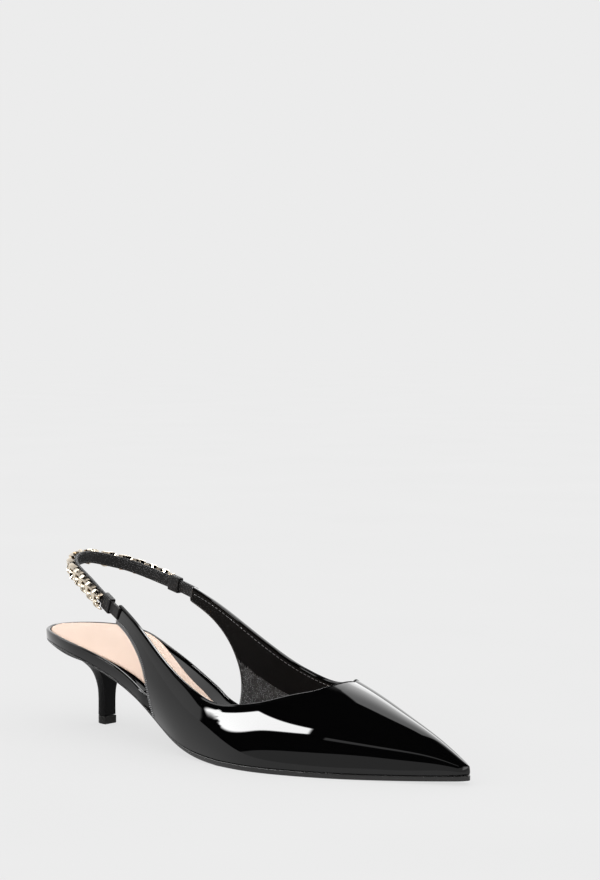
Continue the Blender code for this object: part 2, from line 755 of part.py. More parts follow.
def main():
    clear_scene()
    collection = bpy.data.collections.new("slingback_pump")
    bpy.context.scene.collection.children.link(collection)
    patent = material("black patent leather", (0.008, 0.008, 0.009), 0.06)
    kid = material("black kid leather", (0.012, 0.012, 0.012), 0.35)
    nude = material("nude lining leather", (0.87, 0.70, 0.55), 0.5)
    leather_sole = material("black leather sole", (0.015, 0.015, 0.015), 0.3)
    rubber = material("black rubber", (0.01, 0.01, 0.01), 0.6)
    gold = material("pale gold", (0.83, 0.70, 0.49), 0.15, metallic=1.0)

    outsole(collection, leather_sole)
    insole_board(collection, patent)
    sock_lining(collection, nude)
    upper(collection, patent)
    heel(collection, patent)
    top_lift(collection, rubber)

    path = Path()
    sling_strap(collection, kid, path)
    lateral_keeper = STRAP_START + LATERAL_TAIL
    medial_keeper = path.length - MEDIAL_TAIL - KEEPER_LENGTH
    keeper("keeper_lateral", collection, kid, path, lateral_keeper)
    keeper("keeper_medial", collection, kid, path, medial_keeper)
    chain_start = lateral_keeper + KEEPER_LENGTH + KEEPER_WALL + GAP
    bar_start = medial_keeper - KEEPER_WALL - GAP - CHAIN_BAR
    chain(collection, gold, path, chain_start, bar_start - GAP)
    chain_bar(collection, gold, path, bar_start)


if __name__ == "__main__":
    main()
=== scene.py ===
"""Looks of a right slingback pump: patent upper, nude sock, covered heel and a chain on the strap.

Metres, +Z up, +X toward the toe, +Y toward the medial side. The origin is the centre of the
top lift's underside. The last's tables and functions are the frame's own, at a finer step.
"""

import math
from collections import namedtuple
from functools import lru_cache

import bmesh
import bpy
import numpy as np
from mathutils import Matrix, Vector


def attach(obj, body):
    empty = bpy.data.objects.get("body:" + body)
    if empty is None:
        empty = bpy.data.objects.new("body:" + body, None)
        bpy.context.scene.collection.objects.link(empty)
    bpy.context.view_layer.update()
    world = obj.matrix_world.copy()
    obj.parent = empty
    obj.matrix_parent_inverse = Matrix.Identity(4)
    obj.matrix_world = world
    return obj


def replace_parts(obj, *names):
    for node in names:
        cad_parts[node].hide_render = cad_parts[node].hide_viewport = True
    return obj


bl_info = {
    "name": "Slingback Pump Looks",
    "version": (1, 0, 0),
    "blender": (4, 5, 0),
    "location": "View3D > Sidebar > Pump",
    "description": "Dresses a slingback pump in patent leather, with its lining, chain and studio",
    "category": "Object",
}

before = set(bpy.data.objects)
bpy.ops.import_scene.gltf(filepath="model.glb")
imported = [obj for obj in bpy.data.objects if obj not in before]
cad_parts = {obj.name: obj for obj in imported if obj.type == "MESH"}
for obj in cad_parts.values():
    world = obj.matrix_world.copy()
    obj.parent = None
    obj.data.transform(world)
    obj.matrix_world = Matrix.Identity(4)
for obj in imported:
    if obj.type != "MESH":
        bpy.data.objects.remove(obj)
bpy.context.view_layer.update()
BODY = "root"


# Sizes and colours that a user would change


def tint(label, about, default):
    return bpy.props.FloatVectorProperty(
        name=label, description=about, default=default, subtype="COLOR", size=3, min=0.0, max=1.0
    )


def amount(label, about, default, low=0.0, high=4.0, **kind):
    return bpy.props.FloatProperty(
        name=label, description=about, default=default, min=low, max=high, **kind
    )


def portion(label, about, default):
    return amount(label, about, default, high=1.0, subtype="FACTOR")


def span(label, about, default):
    return amount(
        label, about, default, high=0.05, subtype="DISTANCE", unit="LENGTH", precision=5
    )


class PatentLooks(bpy.types.PropertyGroup):
    """Upper, board cover and their bound edges"""

    colour: tint("Leather", "Colour under the lacquer", (0.0008, 0.0008, 0.0009))
    edge_colour: tint("Edge", "Colour where the lacquer wears", (0.0025, 0.0025, 0.0025))
    lacquer_roughness: portion("Lacquer roughness", "How soft the reflections are", 0.012)
    lacquer_index: amount("Lacquer index", "Refractive index of the lacquer", 1.38, 1.3, 1.8)
    binding: span("Binding", "Half width of the bound topline", 0.00096)
    edge_roll: span("Rear edge", "Radius of the rolled rear edges", 0.00092)


class LiningLooks(bpy.types.PropertyGroup):
    """Lining and facing inside the upper"""

    darker: tint("Creases", "Colour between the grain's pebbles", (0.002, 0.002, 0.002))
    # a light grey painted on the pebbles' tops: painted highlight sparkle on the grain
    painted_pebble_highlight: tint("Painted pebble highlight", "Colour of the pebbles' tops", (0.24, 0.24, 0.244))
    facing_colour: tint("Facing", "Colour of the smooth facing", (0.007, 0.007, 0.0072))
    facing: span("Facing", "Width of the smooth facing under the topline", 0.019)
    stitch_line: span("Stitch line", "Distance of the stitches from the topline", 0.0027)


class SockLooks(bpy.types.PropertyGroup):
    """Nude sock leather in the footbed"""

    colour: tint("Sock", "Colour of the sock", (0.815, 0.612, 0.49))
    # the darker colour is mixed in by a slow noise, and as painted shade toward the sock's rounded
    # rim
    darker: tint("Sock, darker", "Colour of its handled patches and of its painted shade", (0.755, 0.545, 0.42))
    crown: span("Crown", "How far the sock swells in its middle", 0.00025)


class SoleLooks(bpy.types.PropertyGroup):
    """Outsole, heel and top lift"""

    colour: tint("Sole", "Colour of the sole leather", (0.010, 0.010, 0.0105))
    worn_colour: tint("Wear", "Colour of scuffs", (0.028, 0.027, 0.026))
    heel_colour: tint("Heel cover", "Colour of the heel's cover", (0.0012, 0.0012, 0.0013))
    heel_gloss: portion("Heel gloss", "Weight of the heel cover's gloss", 0.035)
    lift_colour: tint("Top lift", "Colour of the top lift", (0.001, 0.001, 0.001))


class StrapLooks(bpy.types.PropertyGroup):
    """Sling strap and keepers"""

    colour: tint("Kid leather", "Colour of the strap", (0.019, 0.019, 0.0195))
    darker: tint("Kid leather, darker", "Colour of its creases", (0.010, 0.010, 0.010))
    ease: span("Edge", "How far the strap's edges are rounded", 0.0005)
    stitch_pitch: span("Stitch pitch", "Distance from stitch to stitch", 0.0019)


class ChainLooks(bpy.types.PropertyGroup):
    """Chain and its end bar"""

    colour: tint("Gold", "Colour of the plating", (0.72, 0.64, 0.52))
    shaded: tint("Gold, shaded", "Colour deep between the links", (0.10, 0.065, 0.038))
    polish: portion("Polish", "Roughness of the polished faces", 0.10)
    bar_width: span("Link bar", "Width of a link's bar", 0.0025)
    bar_thick: span("Link thickness", "Thickness of a link's bar", 0.0020)


class StudioLooks(bpy.types.PropertyGroup):
    """Floor, backdrop and lights"""

    backdrop: amount("Backdrop", "Brightness of the backdrop", 0.8388, high=2.0)
    floor_glow: portion("Floor glow", "Light of the lit table itself", 0.685)
    floor_grey: portion("Floor grey", "Reflectance of the table", 0.13)
    even_light: amount("Even light", "Brightness of the light on matt faces", 1.18)
    surround: amount("Surround", "Brightness of the white walls", 1.27)
    near_wall: amount("Near wall", "Brightness of the walls on the camera's side", 0.78)
    floor_gloss: amount("Floor in gloss", "How much brighter it is in reflections", 1.42, 0.5)
    side_box: amount("Side softbox", "Brightness of the side softbox", 34.0, high=80.0)
    top_box: amount("Top softbox", "Brightness of the overhead softbox", 7.0, high=80.0)


# Driving dimensions of the shoe
LENGTH = 0.2575  # seat back to toe tip
BALL_WIDTH = 0.0750  # sole, across the ball
SEAT_WIDTH = 0.0550
SEAT_HEIGHT = 0.0412  # underside of the sole at the back of the seat
INSTEP_HEIGHT = 0.0379  # ridge of the vamp at the throat, above the floor
SEAT_OVERHANG = 0.0345  # seat back to the middle of the top lift
SEAT_ROUND = 0.0450  # length of the seat's half ellipse
TOE_ROUND = 0.0035  # radius of the toe's tip in plan
TREAD_START = 0.1475  # seat back to the start of the flat forepart
TREAD_END = 0.2000  # seat back to the end of the flat forepart
TOE_SPRING = 0.0019

# Leather, board and fits
WALL = 0.0017
TOE_PUFF = 0.0170  # solid toe ahead of the cavity
GAP = 0.0003
LEDGE = 0.0007  # sole edge showing around the forepart
WRAP = 0.0004  # how far the quarters stand proud of the waist
WAIST_TUCK = 0.0003  # sole edge held in under the seat and waist
BOARD_RIM = 0.0014  # the board's raised edge, round the sock's recess
SOCK_RECESS = 0.0014
SOCK_THICK = 0.0010
SOCK_WAIST_LATERAL = 0.0070  # the sock's edges draw in at the waist
SOCK_WAIST_MEDIAL = 0.0115
STEEPEST_INSET = 1.6  # limits how much an inset grows where the outline turns across the shoe
WELD = 0.000002

# Heel and top lift
LIFT_HEIGHT = 0.0040
LIFT_LENGTH = 0.0074
LIFT_WIDTH = 0.0073
LIFT_BACK = 0.57  # share of the top lift's length that lies behind the origin
HEEL_SQUARE = 2.5  # exponent of the heel's rounded back
HEEL_INSET = 0.0010  # the heel's top edge inside the sole's

# Sling strap, keepers and chain
STRAP_HEIGHT = 0.0830  # top edge of the strap at its highest
STRAP_WIDTH = 0.0060
STRAP_THICK = 0.0016
STRAP_START = 0.0012  # along the strap's path, where the lateral quarter ends
LATERAL_TAIL = 0.0045  # strap showing between the quarter and the keeper, on each side
MEDIAL_TAIL = 0.0105
KEEPER_LENGTH = 0.0070
KEEPER_WALL = 0.0006
CHAIN_WIDTH = 0.0072
CHAIN_THICK = 0.0031
CHAIN_PITCH = 0.0075
CHAIN_DROP = 0.0012  # the chain hangs this far under the strap's middle at its lateral end
CHAIN_LEVEL = 0.6  # share of the strap's path from which the chain hangs no lower
CHAIN_BAR = 0.0014
CHAIN_BAR_HEIGHT = 0.8  # share of CHAIN_THICK

LATERAL, MEDIAL = -1, 1
QUARTER_RIBS, WAIST_RIBS, VAMP_RIBS, PANEL_COLUMNS = 48, 48, 88, 44
RIB_TURN = 0.49  # share of the length where the rib from the rear edge's foot meets the topline
COLUMN_CROWD = 1.3  # exponent that crowds the columns near the topline
RIB_CROWD = 1.15  # exponent that crowds the tops of the waist's ribs behind the throat
SOLE_STATIONS, HEEL_SEGMENTS = 150, 56
FOREPART = 0.58  # share of the length where the sole first lies flat
SLOPE_STEP, GIRTH_STEP = 0.002, 0.01  # steps in shares, for the slopes along and across the shoe
PATH_STEP = 0.0005

# Where a shape fades in or out, from one share of the length to another
TOE_BEND = (0.55, 1.0)  # the middle line bends over to the toe's own line
WAIST_FADE = (0.38, 0.55)  # the waist's close-trimmed edge opens to the forepart's ledge
RECESS_FADE = (0.38, 0.50)
SOCK_NARROW, SOCK_WIDEN = (0.18, 0.36), (0.40, 0.52)
BOARD_STEP = (0.045, 0.012)  # behind the foot of the rear edge, where the board steps in
TUCK_UP = 0.30  # share of the last's height under which it curls in to the feather line

SoleRow = namedtuple("SoleRow", "at lateral medial underside footbed leather")
# lateral and medial are shares of BALL_WIDTH, underside of SEAT_HEIGHT;
# footbed and leather are heights over the underside, as shares of SEAT_HEIGHT
SOLE = [
    SoleRow(0.00, 0.367, 0.367, 1.000, 0.130, 0.024),
    SoleRow(0.08, 0.367, 0.367, 0.971, 0.138, 0.024),
    SoleRow(0.16, 0.367, 0.333, 0.886, 0.154, 0.024),
    SoleRow(0.22, 0.365, 0.280, 0.782, 0.171, 0.026),
    SoleRow(0.28, 0.364, 0.248, 0.648, 0.180, 0.027),
    SoleRow(0.34, 0.379, 0.243, 0.476, 0.167, 0.028),
    SoleRow(0.40, 0.411, 0.273, 0.267, 0.148, 0.030),
    SoleRow(0.46, 0.464, 0.337, 0.114, 0.129, 0.037),
    SoleRow(0.52, 0.501, 0.400, 0.029, 0.117, 0.051),
    SoleRow(0.58, 0.525, 0.447, 0.000, 0.112, 0.056),
    SoleRow(0.65, 0.523, 0.471, 0.000, 0.112, 0.056),
    SoleRow(0.72, 0.461, 0.451, 0.000, 0.112, 0.056),
    SoleRow(0.79, 0.360, 0.387, 0.000, 0.112, 0.056),
    SoleRow(0.86, 0.235, 0.297, 0.000, 0.112, 0.056),
    SoleRow(0.93, 0.107, 0.190, 0.000, 0.112, 0.055),
    SoleRow(1.00, -0.020, 0.080, 0.000, 0.112, 0.053),
]

LastRow = namedtuple("LastRow", "at crest_out crest_up full lateral medial")
# The last above the feather line: crest_up is a share of INSTEP_HEIGHT, full the exponent of
# the section's curve, the rest are shares of BALL_WIDTH at the widest place of each side
LAST = [
    LastRow(0.26, 0.000, 2.690, 2.80, 0.332, 0.330),
    LastRow(0.34, 0.000, 2.350, 2.75, 0.415, 0.340),
    LastRow(0.40, 0.003, 2.090, 2.65, 0.460, 0.362),
    LastRow(0.46, 0.007, 1.850, 2.45, 0.492, 0.390),
    LastRow(0.52, 0.012, 1.625, 2.25, 0.514, 0.422),
    LastRow(0.58, 0.017, 1.425, 2.00, 0.525, 0.450),
    LastRow(0.65, 0.022, 1.230, 1.8, 0.517, 0.466),
    LastRow(0.72, 0.026, 1.073, 1.7, 0.455, 0.445),
    LastRow(0.79, 0.032, 0.910, 1.65, 0.354, 0.381),
    LastRow(0.86, 0.040, 0.707, 1.65, 0.229, 0.291),
    LastRow(0.93, 0.047, 0.490, 1.7, 0.100, 0.184),
    LastRow(1.00, 0.051, 0.215, 2.0, -0.020, 0.080),
]

EdgeRow = namedtuple("EdgeRow", "at girth")
# girth is the share of the way up the last's section, from the feather line to the crest
LATERAL_TOPLINE = [
    EdgeRow(0.270, 0.236),
    EdgeRow(0.340, 0.256),
    EdgeRow(0.420, 0.257),
    EdgeRow(0.500, 0.262),
    EdgeRow(0.550, 0.279),
    EdgeRow(0.600, 0.346),
    EdgeRow(0.650, 0.448),
    EdgeRow(0.700, 0.600),
    EdgeRow(0.735, 0.780),
    EdgeRow(0.753, 1.000),
]
MEDIAL_TOPLINE = [
    EdgeRow(0.288, 0.315),
    EdgeRow(0.360, 0.360),
    EdgeRow(0.420, 0.384),
    EdgeRow(0.480, 0.391),
    EdgeRow(0.530, 0.392),
    EdgeRow(0.580, 0.415),
    EdgeRow(0.640, 0.470),
    EdgeRow(0.695, 0.600),
    EdgeRow(0.733, 0.780),
    EdgeRow(0.753, 1.000),
]

RearRow = namedtuple("RearRow", "down at girth")
# The rear edge of each quarter, down from the strap's end to the sole
LATERAL_REAR = [
    RearRow(0.00, 0.266, 0.160),
    RearRow(0.25, 0.307, 0.169),
    RearRow(0.50, 0.346, 0.150),
    RearRow(0.70, 0.367, 0.111),
    RearRow(0.85, 0.3775, 0.060),
    RearRow(1.00, 0.386, 0.000),
]
MEDIAL_REAR = [
    RearRow(0.00, 0.277, 0.232),
    RearRow(0.25, 0.312, 0.239),
    RearRow(0.50, 0.350, 0.228),
    RearRow(0.70, 0.380, 0.177),
    RearRow(0.85, 0.397, 0.100),
    RearRow(1.00, 0.409, 0.000),
]

HeelRow = namedtuple("HeelRow", "up width back breast level")
# up is a share of SEAT_HEIGHT, the widths and depths of SEAT_WIDTH; level is how much of the
# seat's own slope the section takes, from flat at the top lift to the whole slope on top
HEEL = [
    HeelRow(0.104, 0.133, 0.077, 0.050, 0.0),
    HeelRow(0.290, 0.133, 0.075, 0.050, 0.0),
    HeelRow(0.425, 0.148, 0.080, 0.053, 0.0),
    HeelRow(0.560, 0.210, 0.100, 0.062, 0.0),
    HeelRow(0.680, 0.342, 0.126, 0.076, 0.05),
    HeelRow(0.765, 0.495, 0.160, 0.092, 0.15),
    HeelRow(0.830, 0.630, 0.215, 0.106, 0.35),
    HeelRow(0.885, 0.760, 0.330, 0.120, 0.65),
    HeelRow(1.000, 0.900, 0.545, 0.140, 1.0),
]

StrapRow = namedtuple("StrapRow", "ahead out up")
# The strap's middle line from the lateral quarter round to the medial one: ahead as a share of
# the way from the origin to the lateral quarter's end, out as a share of SEAT_WIDTH, and the
# top edge's height as a share of STRAP_HEIGHT
STRAP = [
    StrapRow(1.043, -0.455, 0.762),
    StrapRow(0.788, -0.418, 0.806),
    StrapRow(0.461, -0.364, 0.863),
    StrapRow(0.079, -0.284, 0.919),
    StrapRow(-0.265, -0.191, 0.959),
    StrapRow(-0.510, -0.064, 0.988),
    StrapRow(-0.633, 0.073, 1.000),
    StrapRow(-0.647, 0.200, 0.998),
    StrapRow(-0.529, 0.327, 0.978),
    StrapRow(-0.265, 0.418, 0.952),
    StrapRow(0.089, 0.469, 0.916),
    StrapRow(0.442, 0.487, 0.880),
    StrapRow(0.794, 0.478, 0.849),
    StrapRow(1.060, 0.455, 0.826),
]


def spline(rows, key, over="at"):
    """A natural cubic through one named column of a table, as a function of another column."""
    xs = np.array([getattr(row, over) for row in rows], float)
    ys = np.array([getattr(row, key) for row in rows], float)
    step = np.diff(xs)
    slope = np.diff(ys) / step
    system = np.eye(len(xs))
    bend = np.zeros(len(xs))
    for i in range(1, len(xs) - 1):
        system[i, i - 1 : i + 2] = step[i - 1], 2 * (step[i - 1] + step[i]), step[i]
        bend[i] = 6 * (slope[i] - slope[i - 1])
    bend = np.linalg.solve(system, bend)

    def value(x):
        i = int(np.clip(np.searchsorted(xs, x) - 1, 0, len(step) - 1))
        a, b = (xs[i + 1] - x) / step[i], (x - xs[i]) / step[i]
        curved = ((a**3 - a) * bend[i] + (b**3 - b) * bend[i + 1]) * step[i] ** 2 / 6
        return a * ys[i] + b * ys[i + 1] + curved

    return value


def ramp(x, start, end):
    """0 before start, 1 after end, smooth between."""
    t = min(max((x - start) / (end - start), 0.0), 1.0)
    return t * t * (3 - 2 * t)


SOLE_OUT = {LATERAL: spline(SOLE, "lateral"), MEDIAL: spline(SOLE, "medial")}
LAST_OUT = {LATERAL: spline(LAST, "lateral"), MEDIAL: spline(LAST, "medial")}
UNDERSIDE = spline([row for row in SOLE if row.at <= FOREPART], "underside")
FOOTBED, LEATHER = spline(SOLE, "footbed"), spline(SOLE, "leather")
CREST_OUT, CREST_UP, FULL = (spline(LAST, key) for key in ("crest_out", "crest_up", "full"))
TOPLINE = {LATERAL: spline(LATERAL_TOPLINE, "girth"), MEDIAL: spline(MEDIAL_TOPLINE, "girth")}
REAR_AT, REAR_GIRTH = (
    {LATERAL: spline(LATERAL_REAR, key, over="down"), MEDIAL: spline(MEDIAL_REAR, key, over="down")}
    for key in ("at", "girth")
)
WING_TOP = {LATERAL: LATERAL_TOPLINE[0].at, MEDIAL: MEDIAL_TOPLINE[0].at}
THROAT = LATERAL_TOPLINE[-1].at
TOE_OUT = CREST_OUT(1.0) * BALL_WIDTH


def ahead(at):
    """World x of a share of the length."""
    return at * LENGTH - SEAT_OVERHANG


def end_round(at):
    """Closes a plan outline round the seat and round the tip of the toe."""
    back, front = at * LENGTH, (1 - at) * LENGTH
    share = 1.0
    if back < SEAT_ROUND:
        share *= math.sqrt(max(0.0, 1 - (1 - back / SEAT_ROUND) ** 2))
    if front < TOE_ROUND:
        share *= math.sqrt(max(0.0, 1 - (1 - front / TOE_ROUND) ** 2))
    return share


def middle(at):
    """The line that the outline closes onto: the axis at the seat, the toe's own line ahead."""
    return TOE_OUT * ramp(at, *TOE_BEND)


def half_width(side, at):
    """From the middle line to the sole's edge."""
    return (SOLE_OUT[side](at) * BALL_WIDTH - side * middle(at)) * end_round(at)


def outline(side, at, inset=0.0):
    """World y of the sole's outline, drawn in by an inset that is square to the edge."""
    back, front = max(0.0, at - SLOPE_STEP), min(1.0, at + SLOPE_STEP)
    slope = (half_width(side, front) - half_width(side, back)) / ((front - back) * LENGTH)
    drawn_in = inset * min(math.sqrt(1 + slope**2), STEEPEST_INSET)
    return middle(at) + side * max(0.0, half_width(side, at) - drawn_in)


def underside(at):
    back, x = SEAT_HEIGHT * UNDERSIDE(min(at, FOREPART)), at * LENGTH
    if x >= TREAD_START:
        back = 0.0
    rise = max(0.0, (x - TREAD_END) / (LENGTH - TREAD_END))
    return max(0.0, back) + TOE_SPRING * rise**2


def sole_top(at):
    return underside(at) + SEAT_HEIGHT * LEATHER(at)


def footbed(at):
    return underside(at) + SEAT_HEIGHT * FOOTBED(at)


def foot_at(side):
    """Where the quarter's rear edge meets the sole."""
    return REAR_AT[side](1.0)


def ledge_at(at):
    """Sole edge showing outside the upper: below zero where the quarters wrap the waist."""
    return LEDGE - (LEDGE + WRAP) * (1 - ramp(at, *WAIST_FADE))


def feather_half(side, at):
    """Half width of the upper where it meets the sole."""
    return abs(outline(side, at, ledge_at(at)) - middle(at))


def last_point(side, at, girth):
    """A point of the upper's outer face, girth 0 at the feather line and 1 on the crest."""
    full = FULL(at)
    up = math.sin(girth * math.pi / 2) ** (2 / full)
    out = max(0.0, math.cos(girth * math.pi / 2)) ** (2 / full)
    low, high = sole_top(at) + GAP, CREST_UP(at) * INSTEP_HEIGHT
    crest = middle(at) + (CREST_OUT(at) * BALL_WIDTH - middle(at)) * (1 - out)
    wide = (LAST_OUT[side](at) * BALL_WIDTH - side * middle(at)) * end_round(at)
    feather = feather_half(side, at)
    tuck = (wide - feather) * max(0.0, 1 - up / TUCK_UP) ** 2
    return np.array((ahead(at), crest + side * (wide * out - tuck), low + (high - low) * up))


def last_normal(side, at, girth):
    """The outward normal of the last, from small steps along and across it."""
    front, back = min(at + SLOPE_STEP, 1.0), at - SLOPE_STEP
    above, below = min(girth + GIRTH_STEP, 1.0), max(girth - GIRTH_STEP, 0.0)
    run = last_point(side, front, girth) - last_point(side, back, girth)
    climb = last_point(side, at, above) - last_point(side, at, below)
    normal = np.cross(run, climb) * side * -1
    if girth > 1 - GIRTH_STEP:
        run = last_point(side, front, 1.0) - last_point(side, back, 1.0)
        normal = np.array((-run[2], 0.0, run[0]))
    return normal / np.linalg.norm(normal)


def stations(start, end, count, ease_start=False, ease_end=False):
    """Shares of the length from start to end, closer together at an end that is round."""
    values = []
    for i in range(count + 1):
        t = i / count
        if ease_start and ease_end:
            t = (1 - math.cos(math.pi * t)) / 2
        elif ease_start:
            t = 1 - math.cos(math.pi / 2 * t)
        elif ease_end:
            t = math.sin(math.pi / 2 * t)
        values.append(start + (end - start) * t)
    return values


def board_inset(side, at):
    """The board fills the seat's outline and steps in to lie inside the upper ahead of it."""
    start, end = (foot_at(side) - ahead_of for ahead_of in BOARD_STEP)
    return (WALL + GAP + ledge_at(at)) * ramp(at, start, end)


def board_end():
    return 1 - (TOE_PUFF + GAP + WALL) / LENGTH


def recess(at):
    """Depth of the board's dish, which holds the sock behind the throat and fades out ahead."""
    return SOCK_RECESS * (1 - ramp(at, *RECESS_FADE))


def sock_inset(side, at):
    """The sock nearly fills the seat, draws in at the waist and widens again over the ball."""
    edge = BOARD_RIM + GAP
    waist = (SOCK_WAIST_LATERAL if side == LATERAL else SOCK_WAIST_MEDIAL) - edge
    narrow = waist * ramp(at, *SOCK_NARROW) * (1 - ramp(at, *SOCK_WIDEN))
    return board_inset(side, at) + edge + narrow


PlanLoop = namedtuple("PlanLoop", "back inset level")


def plan_edge(side, loop, front):
    """One side of a loop in plan: drawn in from the outline, from the seat's back to the front.

    back is how far the loop stands in from the seat's back, inset(side, at) and level(at) its
    distance in from the outline and its height along the shoe.
    """
    points, start = [], loop.back / LENGTH
    for at in stations(start, front, SOLE_STATIONS, ease_start=True):
        share = end_round(max(0.0, at - start)) / max(end_round(at), WELD)
        half = abs(outline(side, at, loop.inset(side, at)) - middle(at)) * min(1.0, share)
        points.append((ahead(at), middle(at) + side * half, loop.level(at)))
    return points


def board_loop(inset, level):
    """A loop of the board, set in evenly from its own edge."""
    return PlanLoop(inset, lambda side, at: board_inset(side, at) + inset, level)


def sock_loop(inset, up):
    """A loop of the sock, set in from its edge, at a height over the sock's underside."""
    return PlanLoop(
        BOARD_RIM + GAP + inset,
        lambda side, at: sock_inset(side, at) + inset,
        lambda at: footbed(at) - recess(at) + GAP + up,
    )


def rib_pairs(side):
    """Foot and top of each rib of a panel, as (at, girth), from the wing's end to the toe."""
    ribs = []
    for i in range(QUARTER_RIBS):
        t = i / QUARTER_RIBS
        top = WING_TOP[side] + (RIB_TURN - WING_TOP[side]) * t
        ribs.append(((REAR_AT[side](t), REAR_GIRTH[side](t)), (top, TOPLINE[side](top))))
    for i in range(WAIST_RIBS):
        t = i / WAIST_RIBS
        foot = foot_at(side) + (THROAT - foot_at(side)) * t
        top = RIB_TURN + (THROAT - RIB_TURN) * (1 - (1 - t) ** RIB_CROWD)
        ribs.append(((foot, 0.0), (top, TOPLINE[side](top))))
    for at in stations(THROAT, 1.0, VAMP_RIBS, ease_end=True):
        ribs.append(((at, 0.0), (at, 1.0)))
    return ribs


def panel_points(side):
    """Outer and inner points of one side of the upper, a row for each rib."""
    outer, inner = [], []
    for (low_at, low), (high_at, high) in rib_pairs(side):
        outside, inside = [], []
        for column in range(PANEL_COLUMNS + 1):
            t = 1 - (1 - column / PANEL_COLUMNS) ** COLUMN_CROWD
            at, girth = low_at + (high_at - low_at) * t, low + (high - low) * t
            point = on_panel(side, at, girth)
            under = point - last_normal(side, at, girth) * WALL
            if girth < WELD:
                under[2] = point[2]
            outside.append(point)
            inside.append(under)
        outer.append(outside)
        inner.append(inside)
    return outer, inner


def heel_ring(row):
    """A D-shaped section: flat breast in front, rounded sides and back."""
    half, depth = row.width * SEAT_WIDTH / 2, (row.back + row.breast) * SEAT_WIDTH
    front = row.breast * SEAT_WIDTH
    ring = []
    for i in range(HEEL_SEGMENTS + 1):
        turn = math.pi * i / HEEL_SEGMENTS - math.pi / 2
        across = math.copysign(abs(math.sin(turn)) ** (2 / HEEL_SQUARE), turn)
        x = front - depth * max(0.0, math.cos(turn)) ** (2 / HEEL_SQUARE)
        at = max(0.0, (x + SEAT_OVERHANG) / LENGTH)
        y = min(abs(half * across), abs(outline(LATERAL, at, HEEL_INSET))) * math.copysign(1, turn)
        seat = underside(at) - GAP
        ring.append((x, y, row.up * (SEAT_HEIGHT + (seat - SEAT_HEIGHT) * row.level)))
    return ring


class Path:
    """The strap's middle line with its own directions, measured by length from the lateral end."""

    def __init__(self):
        lengths, reach = [0.0], ahead(REAR_AT[LATERAL](0.0))
        rows = [
            np.array((row.ahead * reach, row.out * SEAT_WIDTH, row.up * STRAP_HEIGHT))
            for row in STRAP
        ]
        for first, second in zip(rows, rows[1:]):
            lengths.append(lengths[-1] + float(np.linalg.norm(second - first)))
        point = namedtuple("Point", "at x y z")
        table = [point(length, *row) for length, row in zip(lengths, rows)]
        self.length = lengths[-1]
        self.axes = [spline(table, key) for key in "xyz"]

    def top(self, s):
        return np.array([axis(s) for axis in self.axes])

    def frame(self, s):
        """Point on the middle line, forward, outward and up-the-strap directions."""
        along = self.top(s + PATH_STEP) - self.top(s - PATH_STEP)
        along /= np.linalg.norm(along)
        out = np.cross(along, (0.0, 0.0, 1.0)) * -1
        out /= np.linalg.norm(out)
        up = np.cross(along, out)
        return self.top(s) - up * STRAP_WIDTH / 2, along, out, up


def chain_drop(path, s):
    """How far the chain hangs under the strap's middle."""
    return CHAIN_DROP * (1 - ramp(s, 0.0, path.length * CHAIN_LEVEL))


def on_panel(side, at, girth):
    """A point of the skin, with the last's slight unevenness and the vamp's soft folds."""
    point = last_point(side, at, girth)
    return point + last_normal(side, at, girth) * relief(side, at, girth)


FoldRow = namedtuple("FoldRow", "side at girth run reach depth lean")
# Soft folds of the vamp and waist: middle and half sizes in shares of the length and of the
# girth, depth in metres, lean as the girth gained for each LEAN_STEP of the length
FOLDS = [
    FoldRow(LATERAL, 0.600, 0.20, 0.040, 0.20, -0.00003, 3.0),
    FoldRow(LATERAL, 0.690, 0.42, 0.030, 0.26, -0.00002, 3.6),
    FoldRow(MEDIAL, 0.600, 0.24, 0.040, 0.22, -0.00004, 3.0),
    FoldRow(MEDIAL, 0.655, 0.34, 0.030, 0.26, 0.00003, 3.4),
    FoldRow(LATERAL, 0.450, 0.12, 0.050, 0.16, -0.00004, -1.5),
    FoldRow(MEDIAL, 0.450, 0.14, 0.050, 0.18, -0.00004, -1.5),
]
LEAN_STEP = 0.1
ROLL_DEPTH, ROLL_REACH = 0.00028, 0.0034  # how the skin rolls over into the lateral topline
ROLL_FADE = (0.66, 0.73)  # shares of the length over which the roll fades out before the throat
WAVER_HEIGHT = 0.000006  # slight unevenness of the lasted leather
WAVER_ALONG, WAVER_ROUND = (61, 17), (7, 9)  # its waves along the shoe and round the section
RELIEF_STARTS, RELIEF_ENDS = (0.02, 0.12), (0.80, 0.97)  # shares of the girth


def topline_roll(side, at, girth):
    """How far the skin has sunk where it rolls over into the topline."""
    across, height = LAST_OUT[side](at) * BALL_WIDTH, CREST_UP(at) * INSTEP_HEIGHT - sole_top(at)
    below = (TOPLINE[side](max(at, WING_TOP[side])) - girth) * math.hypot(across, height)
    near = max(0.0, 1 - abs(below) / ROLL_REACH)
    return ROLL_DEPTH * near**2 * (1 - ramp(at, *ROLL_FADE))


def relief(side, at, girth):
    """Height of the skin over the last, which fades out at the sole and on the ridge."""
    height = WAVER_HEIGHT
    height *= math.sin(at * WAVER_ALONG[0] + side * girth * WAVER_ROUND[0])
    height *= math.sin(girth * WAVER_ROUND[1] + at * WAVER_ALONG[1])
    for fold in FOLDS:
        if fold.side == side:
            across = (girth - fold.girth) / fold.reach
            leaned = (girth - fold.girth) / fold.lean * LEAN_STEP
            along = (at - fold.at - leaned) / fold.run
            height += fold.depth * math.exp(-(across**2) - along**2)
    faded = height * ramp(girth, *RELIEF_STARTS) * (1 - ramp(girth, *RELIEF_ENDS))
    return faded - topline_roll(side, at, girth)


# Meshes, lines and cords

MESH_WELD = 0.000001


def unit(vector):
    return vector / np.linalg.norm(vector)


def run_lengths(points):
    """Length from the first point to each point of a line."""
    steps = np.linalg.norm(np.diff(np.array(points), axis=0), axis=1)
    return np.concatenate(([0.0], np.cumsum(steps)))


def tangent(points, i):
    return points[min(i + 1, len(points) - 1)] - points[max(i - 1, 0)]


